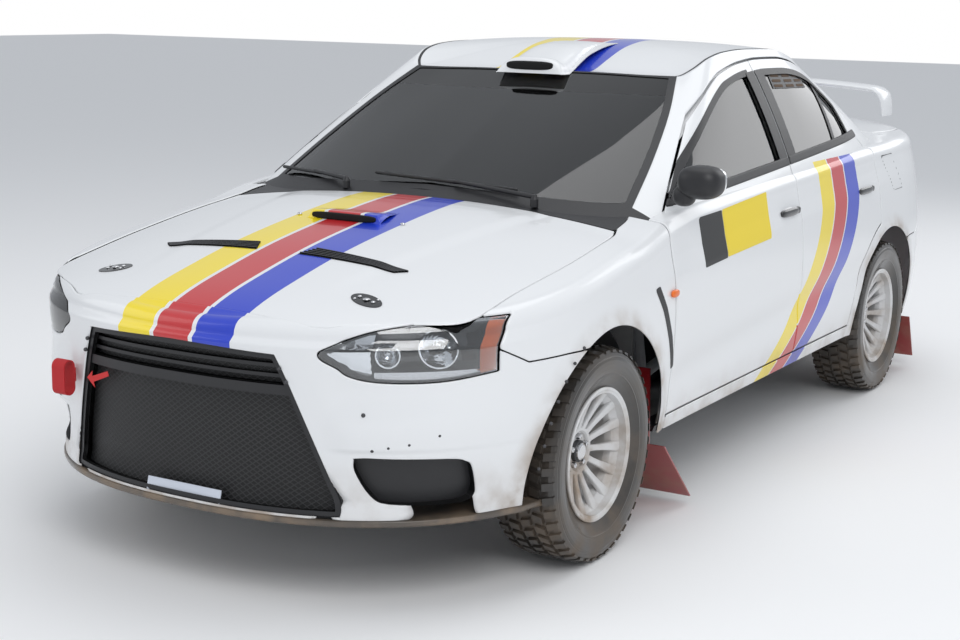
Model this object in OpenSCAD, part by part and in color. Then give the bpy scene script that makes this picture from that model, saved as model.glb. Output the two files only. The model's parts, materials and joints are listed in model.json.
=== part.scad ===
// Four-door rally saloon on gravel tyres, built as separate panels, glass, cage, running gear and wheels.
// Millimetres. X runs across with the car's left at +X, the nose points to -Y, Z is up, the ground is z = 0.

/* [Overall] */
// Width over the wheel arches, without mirrors
width = 1810; // [1740:5:1880]
// Distance between the axles
wheelbase = 2650; // [2550:10:2750]
// Distance between the tyres' middles on one axle
track = 1545; // [1500:5:1580]
// From the front axle to the foremost point of the nose
front_overhang = 900; // [860:5:940]
// From the rear axle to the rearmost point of the bumper
rear_overhang = 935; // [900:5:980]
// Height of the roof's highest point over the ground
roof_height = 1488; // [1450:1:1520]

/* [Wheels] */
// Radius of the tyre's tread
tyre_r = 323; // [300:1:330]
// Width of the tyre
tyre_w = 212; // [190:1:220]
// Radius of the rim's bead seat
rim_r = 190; // [178:1:205]
// Width of the rim
rim_w = 178; // [150:1:190]
// Number of spokes
spokes = 15; // [10:1:16]
// Radius of the wheel's centre bore
hub_bore_r = 33.5; // [28:0.5:36]
// Running gap between a wheel's bore and its spigot
hub_gap = 0.5; // [0.3:0.1:1]
// Radius of a wheel arch's opening
arch_r = 388; // [380:1:400]

/* [Panels] */
// Thickness of a door, outer panel and inner box together
door_t = 60; // [45:1:75]
// Thickness of a door's outer panel with its flange
door_skin_t = 15; // [10:1:20]
// How far a door's inner box stands in from its flange
door_inset = 30; // [24:1:40]
// Depth of a side frame's pillars and sills
frame_t = 110; // [95:1:120]
// Thickness of the roof, bonnet and boot lid with their frames
lid_t = 26; // [18:1:34]
// Thickness of the fenders and bumpers
panel_t = 12; // [8:1:16]
// Thickness of the windows
glass_t = 6; // [4:0.5:8]
// Gap at the shut lines
gap = 7; // [6:0.5:9]
// Gap between a window and the frame it is bonded in
seat_gap = 0.3; // [0.2:0.1:0.6]

/* [Cage and underside] */
// Radius of a roll cage tube
tube_r = 20; // [17:0.5:24]
// Thickness of the sump guard
guard_t = 6; // [4:1:10]
// Radius of the rear tow eye's hole
tow_eye_r = 25; // [20:1:30]
// Thickness of the rear tow eye's plate
tow_eye_t = 12; // [8:1:16]

/* [Hidden] */

// ---- driving lines worked out from the sizes above
half_w = width / 2;
nose_front = -(front_overhang + wheelbase + rear_overhang) / 2;
tail_end = -nose_front;
axle_f = nose_front + front_overhang;
axle_r = axle_f + wheelbase;
wheel_x = track / 2;
front_turn = axle_f - 60;      // the plan outline starts to turn in here
rear_turn = axle_r + 60;
front_round = 2.4;             // how square the plan outline turns, front and rear
rear_round = 3.4;
nose_z = 735;                  // height of the foremost point
belt = 620;                    // height of the widest point of the sides
body_z = 262;                  // height of the bumpers' lower edge
shoulder_r = 46;               // rounding between the sides and the top
cabin = wheelbase / 2650;      // stretches what lies between the axles
roof_up = roof_height - 1488;
white = [0.93, 0.94, 0.95];
black = [0.07, 0.07, 0.08];

function mix(a, b, t) = a + (b - a) * t;
function clamp(v, low, high) = min(max(v, low), high);
function at_cabin(y) = axle_f + (y + 1350) * cabin;   // y of a point between the axles

// ---- lower body: half width of the side, nose and tail lines, and the upper surface
function side_x(z) = half_w * (0.985 - 0.35 * pow((z - belt) / 1000, 2));
function flare(y, z) = 14 * clamp((950 - z) / 250, 0, 1)
  * (exp(-pow((y - axle_f) / 420, 2)) + exp(-pow((y - axle_r) / 420, 2)));
function nose_y(z) = nose_front + (z < nose_z ? 0.095 * (nose_z - z) : 1.1 * (z - nose_z));
function tail_y(z) = tail_end - (z < belt ? 0 : 0.16 * (z - belt)) - (z < 330 ? 0.35 * (330 - z) : 0);

// columns: y, height on the centre line, fall to the side
top_line = [
  [nose_front - 60, 700, 100], [nose_front + 8, 742, 104], [nose_front + 88, 806, 106],
  [nose_front + 340, 876, 106], [axle_f - 165, 948, 104], [axle_f + 230, 996, 92],
  [at_cabin(-870), 1010, 50], [at_cabin(-600), 1024, 34], [at_cabin(0), 1045, 32], [at_cabin(900), 1075, 34],
  [axle_r + 140, 1108, 62], [axle_r + 300, 1120, 70], [tail_end - 130, 1118, 72], [tail_end + 60, 1095, 72]
];
function top_z(x, y) = lookup(y, [for (r = top_line) [r[0], r[1]]])
  - lookup(y, [for (r = top_line) [r[0], r[2]]]) * pow(abs(x) / half_w, 2.2);

// Half plan outline, front centre to rear centre: [kind, value], where kind -1 is the nose arc and 1 the
// tail arc, both by angle, and kind 0 is the side by its share of the length between the turns.
outline = concat(
  [for (a = [90, 78, 66, 55, 44, 33, 22, 10]) [-1, a]],
  [for (i = [0:15]) [0, i / 15]],
  [for (a = [10, 20, 32, 45, 60, 75, 90]) [1, a]]
);
function plan(k, z, inset, pull) =
  k[0] == 0 ? let (y = mix(front_turn, rear_turn, k[1])) [(side_x(z) + flare(y, z) - inset) * pull, y]
  : k[0] < 0
    ? let (c = pow(cos(k[1]), 2 / front_round), s = pow(sin(k[1]), 2 / front_round),
           y = front_turn - (front_turn - nose_y(z) - inset) * s)
      [(side_x(z) + flare(y, z) - inset) * c * pull, front_turn - (front_turn - y) * pull]
    : let (c = pow(cos(k[1]), 2 / rear_round), s = pow(sin(k[1]), 2 / rear_round),
           y = rear_turn + (tail_y(z) - rear_turn - inset) * s)
      [(side_x(z) + flare(y, z) - inset) * c * pull, rear_turn + (y - rear_turn) * pull];

levels = [0, 0.12, 0.28, 0.45, 0.62, 0.8, 1];
pulls = [0.86, 0.66, 0.42, 0.2, 0.02];
function half_ring(row, inset, drop, low) = [
  for (k = outline)
    let (p0 = plan(k, 800, inset, 1), edge = top_z(p0[0], p0[1]) - drop, start = edge - shoulder_r)
      row < len(levels)
      ? let (z = mix(low, start, levels[row]), p = plan(k, z, inset, 1)) [p[0], p[1], z]
      : row < len(levels) + 2
        ? let (a = 30 * (row - len(levels) + 1), z = start + shoulder_r * sin(a) * 0.9,
               p = plan(k, start, inset + shoulder_r * (1 - cos(a)), 1)) [p[0], p[1], z]
        : let (p = plan(k, start, inset + shoulder_r, pulls[row - len(levels) - 2]))
          [p[0], p[1], top_z(p[0], p[1]) - drop]
];
lower_rows = len(levels) + 2 + len(pulls);

// ---- greenhouse: glass, pillars and roof, as a fan of lines from the waist to the roof's edge
// columns: x, y, z at the waist, x, y, z at the roof's edge, and the way its wall's inside lies, x and y
screen_slope = 2.2;            // a sloping screen is this much thicker along the car than through it
greenhouse = [
  [0, at_cabin(-1003), 1010, 0, at_cabin(-203), 1382, 0, -screen_slope],
  [300, at_cabin(-985), 1006, 250, at_cabin(-202), 1381, 0, -screen_slope],
  [560, at_cabin(-935), 996, 440, at_cabin(-200), 1378, 0.1, -screen_slope],
  [side_x(990) - 132, at_cabin(-872), 984, 552, at_cabin(-192), 1378, 0.35, -1.6],
  [side_x(990) - 62, at_cabin(-815), 978, 588, at_cabin(-140), 1404, 0.9, -0.6],
  [side_x(990) - 26, at_cabin(-680), 978, 602, at_cabin(-50), 1440, 1, -0.2],
  [side_x(1000) - 14, at_cabin(-330), 990, 607, at_cabin(80), 1459, 1, 0],
  [side_x(1010) - 10, at_cabin(90), 1008, 608, at_cabin(250), 1465, 1, 0],
  [side_x(1020) - 10, at_cabin(480), 1028, 607, at_cabin(520), 1461, 1, 0],
  [side_x(1030) - 14, at_cabin(850), 1046, 600, at_cabin(745), 1430, 1, 0.1],
  [side_x(1040) - 40, at_cabin(1150), 1060, 584, at_cabin(880), 1396, 1, 0.3],
  [side_x(1050) - 92, at_cabin(1370), 1076, 548, at_cabin(945), 1388, 0.7, 1.2],
  [590, at_cabin(1490), 1092, 430, at_cabin(975), 1400, 0.1, screen_slope],
  [300, at_cabin(1545), 1106, 220, at_cabin(985), 1414, 0, screen_slope],
  [0, at_cabin(1560), 1112, 0, at_cabin(988), 1420, 0, screen_slope]
];
roof_line = [[at_cabin(-230), 1376], [at_cabin(-60), 1446], [at_cabin(120), 1477], [at_cabin(330), 1488],
             [at_cabin(560), 1484], [at_cabin(800), 1462], [at_cabin(1000), 1416]];
roof_mid = at_cabin(370);
heights = [-0.22, 0, 0.25, 0.5, 0.75, 1];
roof_pulls = [0.965, 0.9, 0.75, 0.52, 0.28, 0.06];
function green_ring(row, inset, drop) = [
  for (g = greenhouse)
    let (low = [g[0] - inset * g[6], g[1] - inset * g[7], g[2]],
         high = [g[3] - inset * g[6], g[4] - inset * g[7], g[5] + roof_up - drop])
      row < len(heights)
      ? let (h = heights[row], p = mix(low, high, h), out = 16 * h * (1 - h) * 4)
        [max(p[0] + out * g[6], 0), p[1] + out * g[7] / 3, p[2]]
      : let (q = roof_pulls[row - len(heights)], x = max(high[0], 0) * q, y = roof_mid + (high[1] - roof_mid) * q,
             z = mix(lookup(y, roof_line) + roof_up - drop, high[2], pow(q, 3)))
        [x, y, z]
];
green_rows = len(heights) + len(roof_pulls);

// A closed solid from half rings that are mirrored to the car's right, with a lid of strips at both ends.
module ring_solid(rings) {
  n = len(rings[0]);
  m = 2 * (n - 1);
  rows = len(rings);
  points = [for (r = rings) each concat(r, [for (i = [n - 2:-1:1]) [-r[i][0], r[i][1], r[i][2]]])];
  walls = [for (j = [0:rows - 2], k = [0:m - 1]) let (a = j * m + k, b = j * m + (k + 1) % m)
    each [[a, a + m, b + m], [a, b + m, b]]];
  function facing(i) = (m - i) % m;
  top = (rows - 1) * m;
  lids = [for (i = [0:n - 2]) let (a = i, b = i + 1, c = facing(b), d = facing(a))
    each concat(
      a == d ? [[a, b, c], [top + a, top + c, top + b]]
      : b == c ? [[a, b, d], [top + a, top + d, top + b]]
      : [[a, b, c], [a, c, d], [top + a, top + c, top + b], [top + a, top + d, top + c]])];
  polyhedron(points, concat(walls, lids), convexity = 10);
}
module lower_body(inset = 0, drop = 0, low = body_z)
  ring_solid([for (r = [0:lower_rows - 1]) half_ring(r, inset, drop, low)]);
module cabin_body(inset = 0, drop = 0)
  ring_solid([for (r = [0:green_rows - 1]) green_ring(r, inset, drop)]);

// The body's wall between two depths under its surface.
module wall(from, to, top_from = 0, top_to = lid_t) {
  difference() {
    if (from == 0) { lower_body(); cabin_body(); }
    else { lower_body(from, top_from, body_z - 10); cabin_body(from, top_from); }
    lower_body(to, top_to, body_z - 20);
    cabin_body(to, top_to);
  }
}

// Blocks between neighbouring rows of a table, which together fill an outline.
// side_block rows: y, lowest z, highest z.  plan_block rows: y, least x, most x.  face_block rows: x, lowest z, highest z.
module side_block(rows, grow = 0, from_x = 604) {
  for (i = [0:len(rows) - 2])
    let (a = rows[i], b = rows[i + 1], first = i == 0 ? grow : 0, last = i == len(rows) - 2 ? grow : 0)
      hull() translate([1100, 0, 0]) rotate([90, 0, -90]) linear_extrude(1100 - from_x)
        polygon([[-a[0] + first, a[1] - grow], [-b[0] - last, b[1] - grow],
                 [-b[0] - last, b[2] + grow], [-a[0] + first, a[2] + grow]]);
}
module plan_block(rows, grow = 0, low = 100, high = 1600) {
  for (i = [0:len(rows) - 2])
    let (a = rows[i], b = rows[i + 1], first = i == 0 ? grow : 0, last = i == len(rows) - 2 ? grow : 0)
      hull() translate([0, 0, low]) linear_extrude(high - low)
        polygon([[a[1] - grow, a[0] - first], [a[2] + grow, a[0] - first],
                 [b[2] + grow, b[0] + last], [b[1] - grow, b[0] + last]]);
}
module face_block(rows, grow = 0, from_y = -2600, to_y = -1300) {
  for (i = [0:len(rows) - 2])
    let (a = rows[i], b = rows[i + 1], first = i == 0 ? grow : 0, last = i == len(rows) - 2 ? grow : 0)
      hull() translate([0, to_y, 0]) rotate([90, 0, 0]) linear_extrude(to_y - from_y)
        polygon([[a[0] - first, a[1] - grow], [b[0] + last, b[1] - grow],
                 [b[0] + last, b[2] + grow], [a[0] - first, a[2] + grow]]);
}
module both_sides() { children(); mirror([1, 0, 0]) children(); }
module on_side(s) { if (s > 0) children(); else mirror([1, 0, 0]) children(); }
module arches(r = arch_r, from_x = 480)
  both_sides() for (y = [axle_f, axle_r])
    translate([from_x, y, tyre_r]) rotate([0, 90, 0]) cylinder(r = r, h = 950 - from_x, $fn = 40);

// ---- outlines of the panels
door_front = at_cabin(-905);
door_split = at_cabin(240);
sill_z = 354;                  // height of the doors' lower edge
fender_seam = 674;
floor_z = 286;
frame_z = floor_z + 16.3;
function roof_rail(y) = roof_up + lookup(y, [[at_cabin(-880), 985], [at_cabin(-640), 1122], [at_cabin(-400), 1242],
  [at_cabin(-250), 1312], [at_cabin(-140), 1358], [at_cabin(-49), 1388], [at_cabin(163), 1420],
  [at_cabin(333), 1429], [at_cabin(527), 1427], [at_cabin(683), 1414], [at_cabin(816), 1384],
  [at_cabin(926), 1326], [at_cabin(1004), 1262], [at_cabin(1060), 1180], [at_cabin(1105), 1095],
  [at_cabin(1165), 1040]]);
function over_arch(y) = let (d = axle_r - y, r = arch_r + 52) d < r ? max(tyre_r + sqrt(r * r - d * d), sill_z) : sill_z;
front_door_rows = [for (y = [-905, -880, -640, -400, -250, -140, -49, 163, 240]) let (v = at_cabin(y))
  [v, sill_z, y < -880 ? 975 : roof_rail(v)]];
rear_door_rows = [for (y = [240, 330, 527, 683, 816, 872, 926, 965, 1004, 1060, 1105, 1165]) let (v = at_cabin(y))
  [v, over_arch(v), roof_rail(v)]];
waist_rise = 0.055;            // the window's lower edge climbs this much towards the tail
function waist(y) = 1004 + waist_rise * (y - door_front);
front_window_rows = [for (y = [-770, -640, -400, -250, -140, -49, 168]) let (v = at_cabin(y))
  [v, waist(v), max(roof_rail(v) - 42, waist(v) + 4)]];
rear_window_rows = [for (y = [312, 333, 527, 683, 816, 900, 985]) let (v = at_cabin(y))
  [v, waist(v), roof_rail(v) - (y > 900 ? 62 : 42)]];
// Rows moved in from every side of their outline.
function shrunk(rows, d) = [for (i = [0:len(rows) - 1]) let (r = rows[i], e = len(rows) - 1)
  [r[0] + (i == 0 ? d : i == e ? -d : 0), r[1] + d, r[2] - d * 1.15]];

// Outer edge of the windscreen pillar, seen from above.
pillar_rows = [[at_cabin(-960), 0, 806], [at_cabin(-868), 0, 802], [at_cabin(-815), 0, 786], [at_cabin(-640), 0, 735],
  [at_cabin(-400), 0, 667], [at_cabin(-198), 0, 610], [at_cabin(-60), 0, 604]];
bumper_rows = [[nose_front - 80, 200, 900], [nose_front + 240, 200, 800], [front_turn - 350, 200, fender_seam],
  [axle_f, 200, fender_seam]];
tail_rows_low = [[axle_r, 200, 640], [axle_r + 400, 200, 640], [axle_r + 560, 200, 690], [tail_end + 60, 200, 716]];
bonnet_rows = [[nose_front + 94, 0, 300], [nose_front + 100, 0, 420], [nose_front + 150, 0, 505],
  [nose_front + 240, 0, 640], [axle_f - 560, 0, 738], [axle_f - 350, 0, 750], [axle_f - 45, 0, 762],
  [axle_f + 230, 0, 752], [axle_f + 305, 0, 735]];
scuttle_rows = [[axle_f + 312, 0, 730], [axle_f + 400, 0, 722], [axle_f + 455, 0, 700], [axle_f + 478, 0, 670]];
screen_rows = [[at_cabin(-985), 0, 150], [at_cabin(-965), 0, 420], [at_cabin(-925), 0, 590],
  [at_cabin(-868), 0, side_x(990) - 150], [at_cabin(-640), 0, 660], [at_cabin(-400), 0, 604],
  [at_cabin(-191), 0, 534]];
backlight_rows = [[at_cabin(985), 0, 430], [at_cabin(1060), 0, 530], [at_cabin(1200), 0, 580],
  [at_cabin(1380), 0, 628], [at_cabin(1455), 0, 600], [at_cabin(1520), 0, 420], [at_cabin(1545), 0, 150]];
roof_rows = [[at_cabin(-191), 0, 534], [at_cabin(-130), 0, 574], [at_cabin(-50), 0, 592], [at_cabin(80), 0, 597],
  [at_cabin(250), 0, 598], [at_cabin(520), 0, 597], [at_cabin(745), 0, 588], [at_cabin(880), 0, 560],
  [at_cabin(945), 0, 520], [at_cabin(985), 0, 430]];
boot_rows = [[at_cabin(1568), 0, 620], [at_cabin(1600), 0, 690], [tail_end - 420, 0, 706],
  [tail_end - 250, 0, 690], [tail_end - 130, 0, 640], [tail_end - 118, 0, 488], [tail_end + 40, 0, 488]];
boot_face_rows = [[tail_end - 400, 0, 488], [tail_end + 40, 0, 488]];
boot_deck_z = 1027;            // under this height the lid is only as wide as its upright rear face
grille_rows = [[0, 268, 722], [325, 268, 712], [357, 268, 640], [405, 268, 510], [450, 268, 380], [476, 268, 300]];
fog_rows = [[514, 398, 436], [545, 330, 438], [585, 306, 436], [712, 300, 430], [742, 308, 420], [752, 330, 400]];
lamp_rows = [[446, 708, 728], [486, 684, 752], [510, 664, 762], [560, 650, 781], [640, 645, 797], [720, 648, 806], [800, 664, 810]];
tail_rows = [[500, 880, 985], [560, 850, 1000], [640, 838, 1012], [720, 832, 1020], [800, 830, 1024]];

// ---- body panels
module bonnet() color(white) intersection() {
  wall(0, panel_t, 0, lid_t);
  both_sides() plan_block(bonnet_rows, 0, 690);
}
module scuttle() color(black) difference() {
  intersection() {
    wall(4, panel_t, 4, panel_t);
    both_sides() plan_block(scuttle_rows, 0, 800);
  }
  both_sides() plan_block(screen_rows, 3, 800);
}
module front_bumper() color(white) difference() {
  intersection() {
    wall(0, panel_t, 0, panel_t);
    both_sides() side_block(bumper_rows, 0, -5);
  }
  both_sides() plan_block(bonnet_rows, gap / 2, 690);
  both_sides() face_block(grille_rows, 0);
  both_sides() face_block(fog_rows, 0);
  both_sides() face_block(lamp_rows, 3, to_y = axle_f - 440);
  arches(from_x = 300);
  translate([-1000, axle_f - 20, 0]) cube([2000, 2000, 1000]);
}
module front_grille() color(black) intersection() {
  wall(panel_t + 14, panel_t + 34, 60, 90);
  both_sides() {
    face_block(grille_rows, 6, to_y = front_turn - 350);
    face_block(fog_rows, 6, to_y = front_turn - 380);
  }
}
module headlights() color([0.75, 0.78, 0.8]) difference() {
  intersection() {
    wall(2, 110, 2, 90);
    both_sides() face_block(lamp_rows, 0, to_y = axle_f - 442);
  }
  both_sides() plan_block(bonnet_rows, gap, 690);
}
module front_fenders() color(white) difference() {
  intersection() {
    wall(0, panel_t, 0, panel_t);
    both_sides() side_block([[front_turn - 600, fender_seam + 4, 950], [axle_f, fender_seam + 4, 1040],
      [axle_f + 200, frame_z, 1040], [axle_f + 300, frame_z, 1040], [at_cabin(-905) - gap, frame_z, 1040]]);
  }
  both_sides() plan_block(bonnet_rows, gap, 690);
  both_sides() plan_block(scuttle_rows, gap, 690);
  both_sides() face_block(lamp_rows, 3, to_y = axle_f - 440);
  both_sides() side_block(bumper_rows, 4, 500);
  arches();
  cabin_body(-4, -4);
}
module rear_bumper() color(white) difference() {
  intersection() {
    wall(0, panel_t, 0, panel_t);
    both_sides() side_block(tail_rows_low, 0, -5);
  }
  arches(from_x = 300);
  translate([-1000, axle_r - 1000, 0]) cube([2000, 1000, 1000]);
  translate([exhaust_x, tail_end + 60, exhaust_z]) rotate([90, 0, 0]) cylinder(r = 60, h = 300, $fn = 32);
  translate([tow_x - tow_eye_t / 2 - 8, tail_end - 150, 195]) cube([tow_eye_t + 16, 250, 110]);
}
module tail_lights() color([0.75, 0.08, 0.07]) intersection() {
  wall(2, 60, 2, 60);
  both_sides() face_block(tail_rows, 0, axle_r + 600, tail_end + 100);
}
module windscreen() color([0.35, 0.4, 0.42, 0.6]) intersection() {
  wall(2, 2 + glass_t, 2, 2 + glass_t);
  both_sides() plan_block(shrunk_plan(screen_rows), 0, 960, 1420 + roof_up);
}
module rear_window() color([0.3, 0.34, 0.36, 0.6]) intersection() {
  wall(2, 2 + glass_t, 2, 2 + glass_t);
  both_sides() plan_block(shrunk_plan(backlight_rows), 0, 1040, 1420 + roof_up);
}
// Rows of a plan outline, moved in by the bonding gap.
function shrunk_plan(rows) = [for (i = [0:len(rows) - 1])
  [rows[i][0] + (i == 0 ? seat_gap : i == len(rows) - 1 ? -seat_gap : 0), 0, rows[i][2] - seat_gap]];

module roof_panel() color(white) intersection() {
  wall(0, lid_t, 0, lid_t);
  both_sides() plan_block(roof_rows, 0, 1300);
}
module boot_lid() color(white) difference() {
  intersection() {
    wall(0, lid_t, 0, lid_t);
    both_sides() { plan_block(boot_rows, 0, boot_deck_z); plan_block(boot_face_rows, 0, 720); }
  }
  both_sides() face_block(tail_rows, gap / 2, axle_r + 600, tail_end + 100);
}
module side_frames() color(white) difference() {
  intersection() {
    wall(0, frame_t, 0, lid_t);
    both_sides() side_block([[door_front, frame_z, 1500], [at_cabin(-500), frame_z, 1500],
      [at_cabin(500), frame_z, 1500], [axle_r, frame_z, 1500], [tail_end - 40, frame_z, 1500],
      [tail_end, frame_z, 1500]], 0, 300);
  }
  difference() {
    both_sides() { side_block(front_door_rows, gap); side_block(rear_door_rows, gap); }
    lower_body(door_t + gap, door_t + gap, body_z - 30);
    cabin_body(door_t + gap, door_t + gap);
    both_sides() plan_block(pillar_rows, 0, 800);
  }
  both_sides() {
    difference() {
      side_block(shrunk(front_door_rows, 52));
      plan_block(pillar_rows, 40, 800);
    }
    side_block(shrunk(rear_door_rows, 52));
    plan_block(bonnet_rows, gap, 690);
    plan_block(scuttle_rows, gap, 690);
    plan_block(screen_rows, 0, 960);
    plan_block(backlight_rows, 0, 1040);
    plan_block(roof_rows, seat_gap, 1200);
    plan_block(boot_rows, gap, boot_deck_z - gap);
    plan_block(boot_face_rows, gap, 690);
    face_block(tail_rows, seat_gap, axle_r + 600, tail_end + 100);
    side_block(tail_rows_low, 4, -5);
  }
  arches();
}

// ---- doors: an outer panel with a flange, an inner box set in from it, and a window opening
module door(rows, window, side) color(white) difference() {
  on_side(side) union() {
    intersection() { wall(0, door_skin_t, 0, door_skin_t); side_block(rows); }
    intersection() { wall(door_skin_t - 1, door_t, door_skin_t - 1, door_t); side_block(shrunk(rows, door_inset)); }
  }
  on_side(side) {
    difference() { side_block(window); plan_block(pillar_rows, 50, 800); }
    plan_block(pillar_rows, gap, 800);
  }
}
module door_window(window, side) color([0.3, 0.34, 0.36, 0.6]) on_side(side) difference() {
  intersection() {
    wall(door_skin_t + 4, door_skin_t + 4 + glass_t, door_skin_t, door_skin_t + glass_t);
    side_block(window_glass(window));
  }
  plan_block(pillar_rows, 50 + seat_gap, 800);
}
function window_glass(rows) = [for (i = [0:len(rows) - 1]) let (e = len(rows) - 1)
  [rows[i][0] + (i == 0 ? seat_gap : i == e ? -seat_gap : 0), rows[i][1] + seat_gap, rows[i][2] - seat_gap]];
front_rows_gapped = [for (i = [0:len(front_door_rows) - 1]) let (r = front_door_rows[i], e = len(front_door_rows) - 1)
  [r[0] - (i == e ? gap / 2 : 0), r[1], r[2]]];
rear_rows_gapped = [for (i = [0:len(rear_door_rows) - 1]) let (r = rear_door_rows[i])
  [r[0] + (i == 0 ? gap / 2 : 0), r[1], r[2]]];

// Door mirror: a rounded shell on a short foot at the front of the window.
mirror_y = at_cabin(-800);
module left_mirror() color(black) {
  hull() {
    translate([half_w + 6, mirror_y - 34, 1075]) sphere(r = 32, $fn = 20);
    translate([half_w + 40, mirror_y + 10, 1075]) sphere(r = 38, $fn = 20);
    translate([half_w - 40, mirror_y - 20, 1068]) sphere(r = 30, $fn = 20);
    translate([half_w - 34, mirror_y + 30, 1100]) sphere(r = 36, $fn = 20);
    translate([half_w + 36, mirror_y + 28, 1104]) sphere(r = 34, $fn = 20);
  }
  hull() {
    translate([half_w - 40, mirror_y - 10, 1058]) sphere(r = 24, $fn = 16);
    translate([side_x(1000) - 8, mirror_y - 25, 1010]) sphere(r = 20, $fn = 16);
  }
}

// ---- aerodynamic pieces
module front_splitter() color([0.12, 0.11, 0.1]) {
  lip = 18;
  rows = [for (k = outline) if (k[0] < 0) plan(k, body_z, -lip, 1)];
  back = [for (k = outline) if (k[0] < 0) plan(k, body_z, 150, 1)];
  cut = axle_f - arch_r + 62;
  translate([0, 0, body_z - seat_gap - 20]) linear_extrude(20) intersection() {
    polygon(concat(rows, [for (i = [len(back) - 1:-1:0]) back[i]],
      [for (i = [1:len(back) - 1]) [-back[i][0], back[i][1]]],
      [for (i = [len(rows) - 1:-1:1]) [-rows[i][0], rows[i][1]]]));
    translate([-1200, nose_front - 200]) square([2400, cut - nose_front + 130]);
  }
}
skirt_z = frame_z - 20;
module side_skirts() color(black) both_sides()
  translate([0, axle_r - arch_r - 20, 0]) rotate([90, 0, 0])
    linear_extrude(wheelbase - 2 * arch_r - 100)
      polygon([[skirt_x - 90, skirt_z], [skirt_x - 34, skirt_z], [skirt_x - 26, frame_z - seat_gap],
               [skirt_x - 90, frame_z - seat_gap]]);
vent_y = at_cabin(-150);
// columns: x, y, z, radius, share of it in height
vent_rounds = [[108, vent_y - 118, roof_height - 50, 34, 0.9], [100, vent_y + 30, roof_height - 13, 30, 0.75],
  [76, vent_y + 290, roof_height - 4, 24, 0.4]];
module roof_vent() color(white) difference() {
  hull() both_sides() for (v = vent_rounds)
    translate([v[0], v[1], v[2]]) scale([1, 1.2, v[4]]) sphere(r = v[3], $fn = 24);
  translate([0, 0, -seat_gap]) cabin_body(-seat_gap, -seat_gap);
  hull() for (x = [-90, 90])
    translate([x, vent_y - 220, roof_height - 52]) rotate([-85, 0, 0]) cylinder(r = 17, h = 130, $fn = 20);
}
wing_y = tail_end - 200;
wing_z = 1262;
wing_half = 610;
wing_foot_z = top_z(wing_half + 4, wing_y) + 0.3;
// columns: x, y, z, chord, thickness
wing_rows = [[0, wing_y - 10, wing_z + 14, 190, 26], [260, wing_y - 6, wing_z + 12, 192, 26],
  [470, wing_y, wing_z + 6, 196, 28], [wing_half - 40, wing_y + 8, wing_z - 6, 200, 34]];
wing_posts = [[wing_half - 30, wing_y + 8, wing_z - 6, 150], [wing_half, wing_y + 16, wing_z - 50, 145],
  [wing_half + 8, wing_y + 18, wing_z - 100, 140]];
module wing_rib(s) translate([s[0], s[1], s[2]]) scale([1, 1, s[4] / s[3]])
  rotate([0, 90, 0]) cylinder(d = s[3], h = 4, center = true, $fn = 20);
module wing_post(s) translate([s[0], s[1], s[2]]) cube([30, s[3], 20], center = true);
module rear_wing() color(white) {
  both_sides() {
    for (i = [0:2]) hull() { wing_rib(wing_rows[i]); wing_rib(wing_rows[i + 1]); }
    for (i = [0:1]) hull() { wing_post(wing_posts[i]); wing_post(wing_posts[i + 1]); }
    hull() {
      wing_post(wing_posts[2]);
      translate([wing_half + 4, wing_y + 6, wing_foot_z + 6]) cube([44, 150, 12], center = true);
    }
  }
}

// ---- fittings on the glass and the bonnet
// A point a little over the windscreen; t runs from its lower edge to its upper one.
function on_screen(x, t, up = 20) = let (n = [for (g = greenhouse) if (g[7] < -1) g],
    x0 = [for (g = n) [g[0], g[1]]], z0 = [for (g = n) [g[0], g[2]]],
    y1 = [for (g = n) [g[0], g[4]]], z1 = [for (g = n) [g[0], g[5] + roof_up]], a = abs(x) * (1 + 0.3 * t))
  [x, mix(lookup(a, x0), lookup(a, y1), t) - 12 * 4 * t * (1 - t) - 0.42 * up,
   mix(lookup(a, z0), lookup(a, z1), t) + 0.9 * up];
module wipers() color(black) {
  for (w = [[430, -215], [-300, -690]]) {
    pivot = [w[0], at_cabin(-1006), top_z(w[0], at_cabin(-1006))];
    hull() { translate(pivot + [0, 0, 2]) cylinder(r = 13, h = 24, $fn = 16); translate(pivot + [0, 0, 34]) sphere(r = 9, $fn = 12); }
    hull() { translate(pivot + [0, 0, 34]) sphere(r = 8, $fn = 12); translate(on_screen((w[0] + w[1]) / 2, 0.05)) sphere(r = 6, $fn = 12); }
    hull() {
      translate(on_screen(w[0] - 90, 0.03)) sphere(r = 6, $fn = 12);
      translate(on_screen(w[1], 0.07)) sphere(r = 6, $fn = 12);
    }
  }
}
module bonnet_vents() color(black) {
  both_sides() translate([250, axle_f - 390, top_z(250, axle_f - 390) + 4]) rotate([9, 3, 4])
    linear_extrude(8) polygon([[-185, -26], [150, -50], [185, -24], [-150, 30]]);
  translate([0, axle_f - 80, top_z(0, axle_f - 80) + 7]) rotate([7, 0, 0]) linear_extrude(14)
    polygon([[-134, -40], [134, -40], [118, 30], [-118, 30]]);
}

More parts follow.
